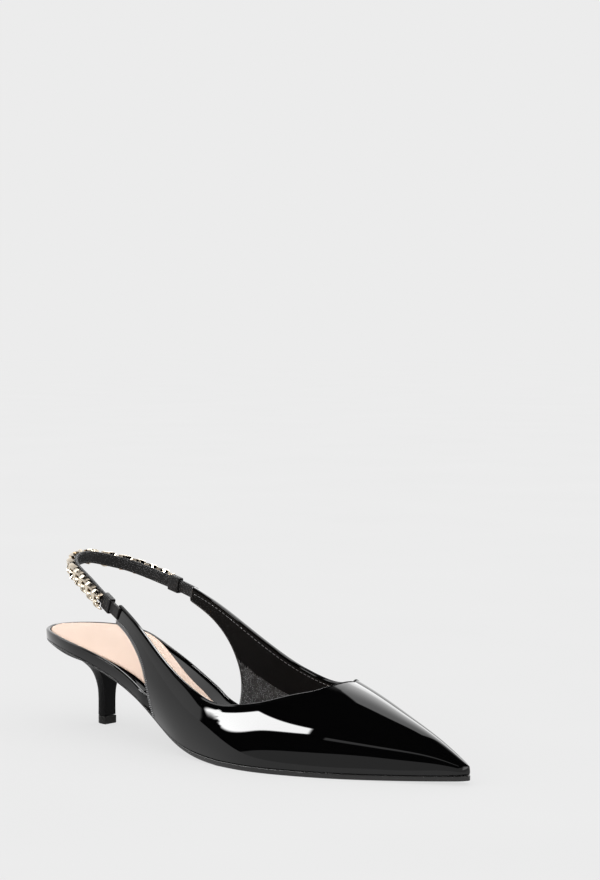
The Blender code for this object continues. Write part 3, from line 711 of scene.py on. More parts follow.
class Hide:
    """Collects rows of vertices into one mesh, with a finish for each face and an edge mask."""

    def __init__(self, name):
        self.name, self.mesh = name, bmesh.new()
        self.edge = self.mesh.verts.layers.float.new("edge")

    def row(self, points, edge=0.0):
        made = []
        for i, point in enumerate(points):
            vertex = self.mesh.verts.new(Vector(point))
            vertex[self.edge] = edge[i] if isinstance(edge, (list, tuple)) else edge
            made.append(vertex)
        return made

    def face(self, corners, finish=0):
        self.mesh.faces.new(corners).material_index = finish

    def bridge(self, first, second, closed=False):
        count = len(first)
        for i in range(count if closed else count - 1):
            j = (i + 1) % count
            self.face((first[i], second[i], second[j], first[j]))

    def tube(self, rows, capped=True):
        """Joins closed rows into a tube, with a face over each end."""
        for first, second in zip(rows, rows[1:]):
            self.bridge(first, second, closed=True)
        if capped:
            self.face(rows[0][::-1])
            self.face(rows[-1])

    def build(self, finishes, slot, sharp=35):
        bmesh.ops.remove_doubles(self.mesh, verts=self.mesh.verts, dist=MESH_WELD)
        bmesh.ops.dissolve_degenerate(self.mesh, dist=MESH_WELD / 2, edges=self.mesh.edges)
        bmesh.ops.recalc_face_normals(self.mesh, faces=self.mesh.faces)
        data = bpy.data.meshes.new(self.name)
        self.mesh.to_mesh(data)
        self.mesh.free()
        for finish in finishes:
            data.materials.append(finish)
        data.shade_smooth()
        data.set_sharp_from_angle(angle=math.radians(sharp))
        return wear(bpy.data.objects.new(self.name, data))


def wear(piece):
    """Links a new piece, which rides on the shoe."""
    bpy.context.scene.collection.objects.link(piece)
    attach(piece, BODY)
    return piece


def cord_along(name, runs, radius, finish, sides=1, cyclic=False):
    """A curve object with one poly spline for each run of points, bevelled to a round cord."""
    data = bpy.data.curves.new(name, "CURVE")
    data.dimensions = "3D"
    data.bevel_depth = radius
    data.bevel_resolution = sides
    data.use_fill_caps = True
    for points in runs:
        line = data.splines.new("POLY")
        line.points.add(len(points) - 1)
        for place, point in zip(line.points, points):
            place.co = (*point, 1.0)
        line.use_cyclic_u = cyclic
        line.use_smooth = True
    data.materials.append(finish)
    return wear(bpy.data.objects.new(name, data))


def even_points(points, spacing):
    """The same line with its points an even distance apart."""
    points, lengths = np.array(points), run_lengths(points)
    marks = np.linspace(0.0, lengths[-1], max(2, round(lengths[-1] / spacing) + 1))
    return np.stack([np.interp(marks, lengths, points[:, k]) for k in range(3)], axis=1)


def smoothed(points, times):
    """Cuts the corners of a line by quarters, as often as asked."""
    points = [np.array(point, float) for point in points]
    for _ in range(times):
        cut = [points[0]]
        for a, b in zip(points, points[1:]):
            cut += [a * 0.75 + b * 0.25, a * 0.25 + b * 0.75]
        points = cut + [points[-1]]
    return points


def sweep(hide, points, ups, profile, masks, sizes=None):
    """A capped bar along a line; ups give the section's second direction, sizes scale it."""
    rows, sizes = [], sizes or [1.0] * len(points)
    for i, point in enumerate(points):
        along = unit(tangent(points, i))
        up = unit(ups[i] - along * np.dot(ups[i], along))
        across = np.cross(along, up)
        ring = [point + (across * a + up * b) * sizes[i] for a, b in profile]
        rows.append(hide.row(ring, masks[i]))
    hide.tube(rows)


def eased_square(half_wide, half_thick, ease):
    """An eight-cornered section: a bar with its edges eased."""
    a, b, e = half_wide, half_thick, ease
    return [(-a, -b + e), (-a, b - e), (-a + e, b), (a - e, b),
            (a, b - e), (a, -b + e), (a - e, -b), (-a + e, -b)]


# Node groups that several finishes share

FLOAT, COLOUR, VECTOR = "NodeSocketFloat", "NodeSocketColor", "NodeSocketVector"


def effect(name, inputs, outputs):
    """A new shader node group from lists of (name, kind, value); gives (tree, in, out)."""
    tree = bpy.data.node_groups.new(name, "ShaderNodeTree")
    for label, kind, value in inputs:
        socket = tree.interface.new_socket(label, in_out="INPUT", socket_type=kind)
        socket.default_value = value
    for label, kind in outputs:
        tree.interface.new_socket(label, in_out="OUTPUT", socket_type=kind)
    return tree, tree.nodes.new("NodeGroupInput"), tree.nodes.new("NodeGroupOutput")


def put(tree, kind, sockets=None, **settings):
    """Adds a node, sets its properties, then its sockets: a value, or a socket to link from."""
    node = tree.nodes.new(kind)
    for key, value in settings.items():
        setattr(node, key, value)
    for key, value in (sockets or {}).items():
        if isinstance(value, bpy.types.NodeSocket):
            tree.links.new(value, node.inputs[key])
        else:
            node.inputs[key].default_value = value
    return node


def combined(tree, operation, first, second):
    """The product, sum, quotient or larger one of two values."""
    return put(tree, "ShaderNodeMath", {0: first, 1: second}, operation=operation).outputs[0]


def remapped(tree, value, start=0.0, end=1.0, low=0.0, high=1.0, smooth=False):
    """A value's range turned into another, evenly or by a smooth step."""
    sockets = {"Value": value, "From Min": start, "From Max": end, "To Min": low, "To Max": high}
    kind = "SMOOTHSTEP" if smooth else "LINEAR"
    return put(tree, "ShaderNodeMapRange", sockets, interpolation_type=kind).outputs[0]


def reached(tree, look, way):
    """How far one direction goes along another."""
    node = put(tree, "ShaderNodeVectorMath", {0: look, 1: way}, operation="DOT_PRODUCT")
    return node.outputs["Value"]


def noise(tree, place, scale, detail, **more):
    sockets = {"Vector": place, "Scale": scale, "Detail": detail, **more}
    return put(tree, "ShaderNodeTexNoise", sockets)


def own_place(tree):
    return put(tree, "ShaderNodeTexCoord").outputs["Object"]


def mixed_colour(tree, share, first, second):
    sockets = {0: share, 6: first, 7: second}
    return put(tree, "ShaderNodeMix", sockets, data_type="RGBA").outputs[2]


def grain_group():
    """Leather grain: pebbles with creases between them, broken up by a slow noise."""
    tree, given, made = effect(
        "Leather Grain",
        [("Scale", FLOAT, 1200.0), ("Pebbles", FLOAT, 1.0), ("Fuzz", FLOAT, 0.3)],
        [("Height", FLOAT), ("Crease", FLOAT)],
    )
    place = own_place(tree)
    swirl = noise(tree, place, scale=500.0, detail=2.0).outputs["Color"]
    shift = put(tree, "ShaderNodeVectorMath", {0: swirl, "Scale": 0.0006}, operation="SCALE")
    moved = put(tree, "ShaderNodeVectorMath", {0: place, 1: shift.outputs[0]}, operation="ADD")
    cells = put(
        tree, "ShaderNodeTexVoronoi",
        {"Vector": moved.outputs[0], "Scale": given.outputs["Scale"], "Randomness": 0.9},
        feature="DISTANCE_TO_EDGE",
    )
    crease = remapped(tree, cells.outputs["Distance"], start=0.02, end=0.30, smooth=True)
    fuzz = noise(tree, place, scale=4200.0, detail=3.0).outputs["Fac"]
    pebbles = combined(tree, "MULTIPLY", crease, given.outputs["Pebbles"])
    fine = combined(tree, "MULTIPLY", fuzz, given.outputs["Fuzz"])
    tree.links.new(combined(tree, "ADD", pebbles, fine), made.inputs["Height"])
    tree.links.new(crease, made.inputs["Crease"])
    return tree


def marks_group():
    """Handling marks: faint smears and hair scratches that dull a polished face."""
    tree, given, made = effect(
        "Handling Marks",
        [("Clean", FLOAT, 0.05), ("Dull", FLOAT, 0.15), ("Scale", FLOAT, 60.0)],
        [("Roughness", FLOAT)],
    )
    place = own_place(tree)
    smear = noise(tree, place, given.outputs["Scale"], detail=5.0, Distortion=0.6)
    soft = remapped(tree, smear.outputs["Fac"], start=0.52, end=0.78, smooth=True)
    drawn_out = put(tree, "ShaderNodeMapping", {"Vector": place, "Scale": (90.0, 1500.0, 700.0)})
    hairs = noise(tree, drawn_out.outputs[0], scale=1.0, detail=1.0).outputs["Fac"]
    both = combined(tree, "MAXIMUM", soft, remapped(tree, hairs, start=0.70, end=0.76))
    rough = remapped(tree, both, low=given.outputs["Clean"], high=given.outputs["Dull"])
    tree.links.new(rough, made.inputs["Roughness"])
    return tree


def tone_group():
    """Uneven dye and painted shade: mixes two colours by a slow noise and by the mesh's own edge
    mask, which paints shade between the chain's links and on the sock's rim.
    """
    tree, given, made = effect(
        "Uneven Dye",
        [("Colour", COLOUR, (1, 1, 1, 1)), ("Darker", COLOUR, (0.5, 0.5, 0.5, 1)),
         ("Scale", FLOAT, 40.0), ("Blotches", FLOAT, 0.3), ("Edges", FLOAT, 0.5)],
        [("Colour", COLOUR)],
    )
    slow = noise(tree, own_place(tree), given.outputs["Scale"], detail=4.0, Roughness=0.6)
    blotch = combined(tree, "MULTIPLY", slow.outputs["Fac"], given.outputs["Blotches"])
    rim = combined(tree, "MULTIPLY", edge_mask(tree), given.outputs["Edges"])
    total = put(tree, "ShaderNodeMath", {0: blotch, 1: rim}, operation="ADD", use_clamp=True)
    mixed = mixed_colour(
        tree, total.outputs[0], given.outputs["Colour"], given.outputs["Darker"]
    )
    tree.links.new(mixed, made.inputs["Colour"])
    return tree


def edge_mask(tree):
    return put(tree, "ShaderNodeAttribute", attribute_name="edge").outputs["Fac"]


def use(tree, name, **values):
    """Places a shared group, built the first time that it is asked for, with its own values."""
    makers = {"Leather Grain": grain_group, "Handling Marks": marks_group, "Uneven Dye": tone_group}
    node = put(tree, "ShaderNodeGroup", node_tree=bpy.data.node_groups.get(name) or makers[name]())
    for key, value in values.items():
        node.inputs[key].default_value = value
    return node


def rgb(colour):
    return (*tuple(colour)[:3], 1.0)


def finish_named(name, **sockets):
    """A new material; gives (material, node tree, Principled shader) with the sockets set."""
    made = bpy.data.materials.new(name)
    made.use_nodes = True
    tree = made.node_tree
    shader = tree.nodes["Principled BSDF"]
    for key, value in sockets.items():
        shader.inputs[key.replace("_", " ")].default_value = value
    return made, tree, shader


def bump(tree, shader, height, distance):
    node = put(tree, "ShaderNodeBump", {"Height": height, "Distance": distance, "Strength": 1.0})
    tree.links.new(node.outputs["Normal"], shader.inputs["Normal"])


def dye_and_painted_shade(tree, shader, colour, darker, scale, blotches, edges):
    """Uneven dye in the base colour, with painted shade where the edge mask darkens it."""
    node = use(
        tree, "Uneven Dye", Colour=rgb(colour), Darker=rgb(darker), Scale=scale,
        Blotches=blotches, Edges=edges,
    )
    tree.links.new(node.outputs["Colour"], shader.inputs["Base Color"])


def handle(tree, shader, clean, dull, scale):
    """Handling marks in the roughness."""
    marks = use(tree, "Handling Marks", Clean=clean, Dull=dull, Scale=scale)
    tree.links.new(marks.outputs["Roughness"], shader.inputs["Roughness"])


def grain(tree, shader, scale, pebbles, fuzz, depth):
    """Leather grain as a fine bump; gives the mask of its pebbles' tops."""
    node = use(tree, "Leather Grain", Scale=scale, Pebbles=pebbles, Fuzz=fuzz)
    bump(tree, shader, node.outputs["Height"], depth)
    return node.outputs["Crease"]


# Finishes

DULLED_LACQUER = 0.10  # share of the lacquer's gloss left where a folded edge isn't polished
EDGE_PAINT = (0.0015, 0.0015, 0.0016)
# EDGE_THREAD is black thread painted mid grey, a painted highlight along its stitches
EDGE_THREAD, STRAP_THREAD = (0.22, 0.22, 0.225), (0.016, 0.016, 0.017)


def patent_finish(name="Patent leather"):
    """Black leather under a clear lacquer: the gloss is all in the coat."""
    looks = bpy.context.scene.pump_patent
    made, tree, shader = finish_named(
        name, Roughness=0.45, Coat_Weight=1.0, Coat_Roughness=looks.lacquer_roughness,
        Coat_IOR=looks.lacquer_index, Specular_IOR_Level=0.0,
    )
    dye_and_painted_shade(tree, shader, looks.colour, looks.edge_colour, scale=70.0, blotches=0.4, edges=0.6)
    grain(tree, shader, scale=1500.0, pebbles=1.0, fuzz=0.4, depth=0.000012)
    handle(tree, shader, clean=0.42, dull=0.55, scale=45.0)
    return made


def part_polished(name):
    """Patent leather whose edge mask sets how much of the lacquer shows, from dull up to all."""
    made = patent_finish(name)
    tree = made.node_tree
    gloss = remapped(tree, edge_mask(tree), end=0.3, low=DULLED_LACQUER)
    tree.links.new(gloss, tree.nodes["Principled BSDF"].inputs["Coat Weight"])
    return made


def grained_finish(name, colour, darker, rough, depth, scale, gloss, sheen=0.0, painted_pebble_highlight=False):
    """Uncoated leather, smoother on the pebbles' tops; if asked, the given colour goes on the
    pebbles' tops alone, as a painted highlight on the grain.
    """
    made, tree, shader = finish_named(
        name, Sheen_Weight=sheen, Sheen_Roughness=0.5, Specular_IOR_Level=gloss
    )
    tops = grain(tree, shader, scale=scale, pebbles=1.0, fuzz=0.5, depth=depth)
    worn = remapped(tree, tops, low=min(1.0, rough + 0.2), high=rough)
    tree.links.new(worn, shader.inputs["Roughness"])
    if painted_pebble_highlight:
        # painted highlight: the pebbles' tops take the light colour over the dark creases
        mixed = mixed_colour(tree, remapped(tree, tops, start=0.70), rgb(darker), rgb(colour))
        tree.links.new(mixed, shader.inputs["Base Color"])
    else:
        dye_and_painted_shade(tree, shader, colour, darker, scale=35.0, blotches=0.35, edges=0.5)
    return made


def lining_finish():
    looks = bpy.context.scene.pump_lining
    return grained_finish(
        "Black grained lining", looks.painted_pebble_highlight, looks.darker, rough=0.20, depth=0.00034,
        scale=1300.0, gloss=0.45, painted_pebble_highlight=True,
    )


def facing_finish():
    looks = bpy.context.scene.pump_lining
    return grained_finish(
        "Black smooth facing", looks.facing_colour, looks.darker, rough=0.34, depth=0.00002,
        scale=2200.0, gloss=0.04,
    )


def sock_finish():
    looks = bpy.context.scene.pump_sock
    return grained_finish(
        "Nude sock leather", looks.colour, looks.darker, rough=0.46, depth=0.00002,
        scale=2400.0, gloss=0.4, sheen=0.05,
    )


def kid_finish():
    looks = bpy.context.scene.pump_strap
    return grained_finish(
        "Black kid leather", looks.colour, looks.darker, rough=0.32, depth=0.00003,
        scale=2600.0, gloss=0.12,
    )


def sole_finish():
    looks = bpy.context.scene.pump_sole
    made, tree, shader = finish_named(
        "Black sole leather", Coat_Weight=0.35, Coat_Roughness=0.16, Specular_IOR_Level=0.1
    )
    dye_and_painted_shade(tree, shader, looks.colour, looks.worn_colour, scale=55.0, blotches=0.5, edges=0.3)
    handle(tree, shader, clean=0.26, dull=0.48, scale=120.0)
    grain(tree, shader, scale=3000.0, pebbles=0.5, fuzz=1.0, depth=0.00002)
    return made


def rubber_finish():
    looks = bpy.context.scene.pump_sole
    made, tree, shader = finish_named("Black lift rubber", Specular_IOR_Level=0.05)
    dye_and_painted_shade(tree, shader, looks.lift_colour, looks.worn_colour, scale=300.0, blotches=0.5, edges=0.4)
    handle(tree, shader, clean=0.42, dull=0.62, scale=400.0)
    grain(tree, shader, scale=5200.0, pebbles=0.2, fuzz=1.0, depth=0.00003)
    return made


def heel_finish():
    looks = bpy.context.scene.pump_sole
    made, tree, shader = finish_named(
        "Black heel cover", Roughness=0.4, Coat_Weight=looks.heel_gloss, Coat_Roughness=0.12,
        Specular_IOR_Level=0.02,
    )
    dye_and_painted_shade(tree, shader, looks.heel_colour, looks.colour, scale=60.0, blotches=0.4, edges=0.3)
    grain(tree, shader, scale=1600.0, pebbles=1.0, fuzz=0.4, depth=0.00003)
    return made


def gold_finish():
    looks = bpy.context.scene.pump_chain
    made, tree, shader = finish_named("Pale gold", Metallic=1.0)
    # painted shade: the edge mask darkens the gold toward its shaded colour low down between the
    # links, and the slow noise mixes it in at random
    dye_and_painted_shade(tree, shader, looks.colour, looks.shaded, scale=260.0, blotches=0.35, edges=1.0)
    handle(tree, shader, clean=looks.polish, dull=looks.polish + 0.15, scale=500.0)
    ripple = noise(tree, own_place(tree), scale=900.0, detail=1.0)
    bump(tree, shader, ripple.outputs["Fac"], distance=0.00006)
    return made


def thread_finish(name, colour):
    """Twisted thread: fine slanting ribs."""
    made, tree, shader = finish_named(name, Base_Color=rgb(colour))
    sockets = {"Vector": own_place(tree), "Scale": 900.0, "Distortion": 1.0}
    ribs = put(tree, "ShaderNodeTexWave", sockets, bands_direction="DIAGONAL").outputs["Fac"]
    tree.links.new(remapped(tree, ribs, low=0.35, high=0.6), shader.inputs["Roughness"])
    bump(tree, shader, ribs, distance=0.00005)
    return made


# Upper

OFF_THE_TOP = np.array((-0.5, 0.0, 0.86))  # roughly the way off the topline, to tell it by
MASK_REACH = 0.003  # width of the skin's edge mask


class Panels:
    """Both sides of the upper at a fine step: skin and lining rows, one for each rib."""

    def __init__(self):
        self.skin, self.lining = {}, {}
        for side in (LATERAL, MEDIAL):
            self.skin[side], self.lining[side] = panel_points(side)
        self.throat = QUARTER_RIBS + WAIST_RIBS
        feet = [foot for foot, _ in rib_pairs(LATERAL)[self.throat :]]
        self.cavity = self.throat + sum(ahead(at) < ahead(1.0) - TOE_PUFF for at, _ in feet)

    def along_top(self, pick):
        """pick(skin, lining) at the wall's top, from the lateral wing to the medial one."""
        ends = {
            side: [
                pick(self.skin[side][i][-1], self.lining[side][i][-1])
                for i in range(self.throat + 1)
            ]
            for side in (LATERAL, MEDIAL)
        }
        return ends[LATERAL] + ends[MEDIAL][-2::-1]

    def top_edge(self):
        """The topline, over the middle of the wall."""
        return self.along_top(lambda skin, lining: (skin + lining) / 2)

    def top_outward(self):
        """At each point of the topline, the way off its edge, in the plane of the wall."""
        points, outward = self.top_edge(), []
        for i, wall in enumerate(self.along_top(lambda skin, lining: skin - lining)):
            away = unit(np.cross(tangent(points, i), wall))
            outward.append(away if np.dot(away, OFF_THE_TOP) > 0 else -away)
        return outward

    def rear_edge(self, side):
        """Down the wing's end and the rear edge to the sole, in the middle of the wall."""
        skin, lining = self.skin[side], self.lining[side]
        places = [(0, k) for k in range(PANEL_COLUMNS, -1, -1)]
        places += [(i, 0) for i in range(1, QUARTER_RIBS + 1)]
        return [(skin[i][k] + lining[i][k]) / 2 for i, k in places]


@lru_cache(maxsize=1)
def panels_made():
    return Panels()


def near_edge(points, reach):
    """Edge mask along a row: 1 at its last point, fading out within the reach."""
    return [max(0.0, 1 - x / reach) for x in run_lengths(points[::-1])[::-1]]


class DressUpper(bpy.types.Operator):
    """Patent skin with its soft folds, and the lining and facing inside"""

    bl_idname = "pump.upper"
    bl_label = "Upper"

    def execute(self, context):
        panels, hide = panels_made(), Hide("upper_skin")
        facing = context.scene.pump_lining.facing
        outer, inner = {}, {}
        for side in (LATERAL, MEDIAL):
            skin, lining = panels.skin[side], panels.lining[side]
            outer[side] = [hide.row(points, near_edge(points, MASK_REACH)) for points in skin]
            inner[side] = [hide.row(points) for points in lining[: panels.cavity + 1]]
            depths = [near_edge(points, facing) for points in lining]
            self.side(hide, panels, outer[side], inner[side], depths)
        hide.face(inner[LATERAL][-1] + inner[MEDIAL][-1][-2::-1], 1)
        left, right = outer[LATERAL], outer[MEDIAL]
        for i in range(panels.cavity, len(right) - 1):
            hide.face((left[i][0], left[i + 1][0], right[i + 1][0], right[i][0]))
        piece = hide.build([patent_finish(), lining_finish(), facing_finish()], "patent_leather")
        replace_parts(piece, "upper")
        return {"FINISHED"}

    def side(self, hide, panels, rows, inner, depths):
        """Skin, lining and edges of one side; the facing lies where its mask is over zero."""
        for first, second in zip(rows, rows[1:]):
            hide.bridge(first, second)
        for i in range(panels.cavity):
            near, far = inner[i], inner[i + 1]
            for k in range(PANEL_COLUMNS):
                finish = 2 if depths[i][k] > 0 and i < panels.throat else 1
                hide.face((near[k], far[k], far[k + 1], near[k + 1]), finish)
            hide.face((rows[i][0], rows[i + 1][0], far[0], near[0]))
            if i < panels.throat:
                hide.face((rows[i][-1], rows[i + 1][-1], far[-1], near[-1]))
        hide.bridge(rows[0], inner[0])


SectionRow = namedtuple("SectionRow", "across out gloss")
# The binding's section: across in half widths, out from the topline in metres
BINDING = [
    SectionRow(-1.00, -0.0006, 0.0),
    SectionRow(-1.00, 0.0001, 0.0),
    SectionRow(-0.70, 0.0004, 0.0),
    SectionRow(-0.10, 0.0005, 1.0),
    SectionRow(0.00, 0.0005, 1.0),
    SectionRow(0.55, 0.0005, 1.0),
    SectionRow(0.66, 0.00048, 1.0),
    SectionRow(1.00, 0.0001, 0.0),
    SectionRow(1.00, -0.0006, 0.0),
]
BINDING_SHINES = (0.28, 0.50)  # share of the quarter's ribs over which its gloss sets in
ROLL_STEP = 0.0012
WHIP_RADIUS, WHIP_PITCH, WHIP_LIFT = 0.00024, 0.0010, 0.00014
WHIP_TURNS = np.radians(np.linspace(5, 90, 5))  # round the rear edge, up to the skin
WHIP_RUN = ((0.0004, 0.0), (0.0008, 0.0), (0.0010, 0.0003))  # on over the skin, and down into it
WHIP_COLUMN = 3  # a column of the wall clear of its rear edge
STITCH_RADIUS, STITCH_LIFT, STITCH_STEP = 0.00016, 0.00004, 0.0005
STITCH_POINTS, STITCH_DRAWN = 5, 4  # steps from stitch to stitch, and points that show
FIRST_STITCHED = 2  # the rib where the row of stitches starts


class DressEdges(bpy.types.Operator):
    """Bound topline, rolled rear edges and their thread"""

    bl_idname = "pump.edges"
    bl_label = "Edges and stitches"

    def execute(self, context):
        panels, patent = panels_made(), context.scene.pump_patent
        hide, line = Hide("topline_binding"), panels.top_edge()
        section = [(patent.binding * row.across, row.out) for row in BINDING]
        shown = [ramp(i / QUARTER_RIBS, *BINDING_SHINES) for i in range(len(line))]
        masks = [[share * row.gloss for row in BINDING] for share in shown]
        sweep(hide, line, panels.top_outward(), section, masks)
        hide.build([part_polished("Patent binding")], "patent_leather")
        paint, _, _ = finish_named("Black edge paint", Roughness=0.4, Base_Color=rgb(EDGE_PAINT))
        rolls = [even_points(panels.rear_edge(side), ROLL_STEP) for side in (LATERAL, MEDIAL)]
        cord_along("rear_rolls", rolls, patent.edge_roll, paint, sides=4)
        thread = thread_finish("Black thread", EDGE_THREAD)
        whips = list(self.whip_stitches(panels, patent.edge_roll + WHIP_LIFT))
        cord_along("rear_whipping", whips, WHIP_RADIUS, thread)
        stitches = list(self.facing_stitches(panels, context.scene.pump_lining.stitch_line))
        cord_along("facing_stitches", stitches, STITCH_RADIUS, thread)
        return {"FINISHED"}

    def whip_stitches(self, panels, reach):
        """Short wraps over each rear edge, which run on a little way over the skin."""
        for side in (LATERAL, MEDIAL):
            edge = even_points(panels.rear_edge(side), WHIP_PITCH)
            rows = list(zip(panels.skin[side], panels.lining[side]))[: QUARTER_RIBS + 1]
            mids = np.array([(skin[0] + lining[0]) / 2 for skin, lining in rows])
            for k in range(1, len(edge) - 1):
                near = int(np.argmin(np.linalg.norm(mids - edge[k], axis=1)))
                skin, lining = rows[near]
                out = unit(skin[0] - lining[0])
                away = np.cross(unit(edge[k + 1] - edge[k - 1]), out)
                inward = (skin[WHIP_COLUMN] + lining[WHIP_COLUMN]) / 2 - mids[near]
                away = away if np.dot(away, inward) < 0 else -away
                wrap = [
                    edge[k] + (away * math.cos(turn) + out * math.sin(turn)) * reach
                    for turn in WHIP_TURNS
                ]
                yield wrap + [wrap[-1] - away * run - out * sunk for run, sunk in WHIP_RUN]

    def facing_stitches(self, panels, depth):
        """A row of stitches inside, an even way below the topline."""
        for side in (LATERAL, MEDIAL):
            line = []
            rows = list(zip(panels.skin[side], panels.lining[side]))
            for skin, lining in rows[FIRST_STITCHED : panels.throat]:
                points = np.array(lining[::-1])
                lengths = run_lengths(points)
                spot = np.array([np.interp(depth, lengths, points[:, k]) for k in range(3)])
                line.append(spot + unit(lining[-1] - skin[-1]) * STITCH_LIFT)
            even = even_points(line, STITCH_STEP)
            for k in range(0, len(even) - STITCH_POINTS, STITCH_POINTS):
                yield even[k : k + STITCH_DRAWN]


# Sole, board and sock

CROWN_COLUMNS = 14
BOARD_EASE, BOARD_DISH = 0.0004, -0.0003  # eased corners, and how far the board's middle dips
SOCK_FOOT, SOCK_FLAT = 0.0002, 0.0006  # its eased lower corner, and the ring where its top is flat
SOCK_EASE = SOCK_THICK * 0.55
SOLE_EASE, SOLE_ROWS, SOLE_MASK = 0.00035, 190, 0.7
HEEL_ROWS, HEEL_MASK = 64, 0.2


def plan_piece(name, loops, front, finish, slot, edges, crown):
    """A closed piece through loops in plan, with an edge mask for each; crown lifts its middle."""
    hide, rows = Hide(name), {}
    for side in (LATERAL, MEDIAL):
        rows[side] = [
            hide.row(plan_edge(side, loop, front), mask) for loop, mask in zip(loops, edges)
        ]
        for first, second in zip(rows[side], rows[side][1:]):
            hide.bridge(first, second)
    hide.bridge(rows[LATERAL][0], rows[MEDIAL][0])
    left, right = rows[LATERAL][-1], rows[MEDIAL][-1]
    columns = [left]
    for k in range(1, CROWN_COLUMNS):
        t = k / CROWN_COLUMNS
        lift = Vector((0, 0, crown * (1 - (2 * t - 1) ** 2)))
        columns.append(hide.row([a.co.lerp(b.co, t) + lift for a, b in zip(left, right)]))
    columns.append(right)
    for first, second in zip(columns, columns[1:]):
        hide.bridge(first, second)
    ends = [[row[-1] for row in rows[side]] for side in (LATERAL, MEDIAL)]
    hide.face(ends[0] + ends[1][::-1])
    return hide.build([finish], slot)


class DressFootbed(bpy.types.Operator):
    """Covered board with its rolled rim, and the sock that lies in it"""

    bl_idname = "pump.footbed"
    bl_label = "Board and sock"

    def execute(self, context):
        self.board()
        self.sock(context.scene.pump_sock.crown)
        return {"FINISHED"}

    def board(self):
        ease, rim = BOARD_EASE, BOARD_RIM / 2
        foot = [(ease, 0.0), (ease / 4, ease / 4), (0.0, ease)]
        loops = [board_loop(inset, self.foot_level(up)) for inset, up in foot]
        for angle in np.radians(range(0, 181, 15)):
            level = self.rim_level(rim * (1 - math.sin(angle)))
            loops.append(board_loop(rim * (1 - math.cos(angle)), level))
        polished = len(loops) - 1
        loops += [board_loop(BOARD_RIM + drawn, self.bed_level(drawn / 8)) for drawn in (0.0, ease)]
        edges = [1.0 if i < polished else 0.0 for i in range(len(loops))]
        finish = part_polished("Patent board cover")
        piece = plan_piece(
            "board_cover", loops, board_end(), finish, "patent_cover", edges, BOARD_DISH
        )
        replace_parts(piece, "insole_board")

    def foot_level(self, up):
        """Height over the board's underside."""
        return lambda at: sole_top(at) + GAP + up

    def rim_level(self, fall):
        """Height of the rolled rim, a little way down from its top."""
        return lambda at: footbed(at) - min(fall, recess(at) + BOARD_RIM / 2)

    def bed_level(self, fall):
        """Height of the bed that the sock lies on."""
        return lambda at: footbed(at) - recess(at) - fall

    def sock(self, crown):
        # the edge mask paints shade on the sock's rounded rim, fading out toward its flat top
        steps = [(SOCK_FOOT, 0.0, 1.0), (0.0, SOCK_FOOT, 1.0)]
        for turn in range(0, 91, 15):
            angle = math.radians(turn)
            up = SOCK_THICK - SOCK_EASE * (1 - math.sin(angle))
            steps.append((SOCK_EASE * (1 - math.cos(angle)), up, 1 - turn / 120))
        steps.append((SOCK_EASE + SOCK_FLAT, SOCK_THICK, 0.0))
        loops = [sock_loop(inset, up) for inset, up, _ in steps]
        edges = [mask for _, _, mask in steps]
        front = board_end() - BOARD_RIM / LENGTH
        piece = plan_piece("sock", loops, front, sock_finish(), "nude_lining", edges, crown)
        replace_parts(piece, "sock_lining")


class DressSole(bpy.types.Operator):
    """Leather outsole with rounded edges"""

    bl_idname = "pump.sole"
    bl_label = "Outsole"

    def execute(self, context):
        hide = Hide("sole_leather")
        places = stations(0.0, 1.0, SOLE_ROWS, ease_start=True, ease_end=True)
        rows = [hide.row(self.ring(at), SOLE_MASK) for at in places]
        hide.tube(rows, capped=False)
        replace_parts(hide.build([sole_finish()], "leather_sole"), "outsole")
        return {"FINISHED"}

    def ring(self, at):
        """A section across the sole, with half circles for its edges."""
        inset = WAIST_TUCK * (1 - ramp(at, *WAIST_FADE))
        low, high = underside(at) + SOLE_EASE, sole_top(at) - SOLE_EASE
        ring = []
        for side, order in ((LATERAL, 1), (MEDIAL, -1)):
            corner = []
            for turn in range(-90, 91, 18):
                angle = math.radians(turn)
                level = (low if turn < 0 else high) + SOLE_EASE * math.sin(angle)
                drawn = inset + SOLE_EASE * (1 - math.cos(angle))
                corner.append((ahead(at), outline(side, at, drawn), level))
            ring += corner[::order]
        return ring


LiftRow = namedtuple("LiftRow", "wide up mask")
# Sections of the top lift: its width as a share, the height in metres, and the edge mask
LIFT = [
    LiftRow(0.930, 0.0, 1.0),
    LiftRow(0.975, 0.00006, 1.0),
    LiftRow(1.000, 0.00028, 0.8),
    LiftRow(1.000, LIFT_HEIGHT - 0.00022, 0.4),
    LiftRow(0.980, LIFT_HEIGHT - 0.00005, 0.9),
    LiftRow(0.950, LIFT_HEIGHT, 0.9),
]


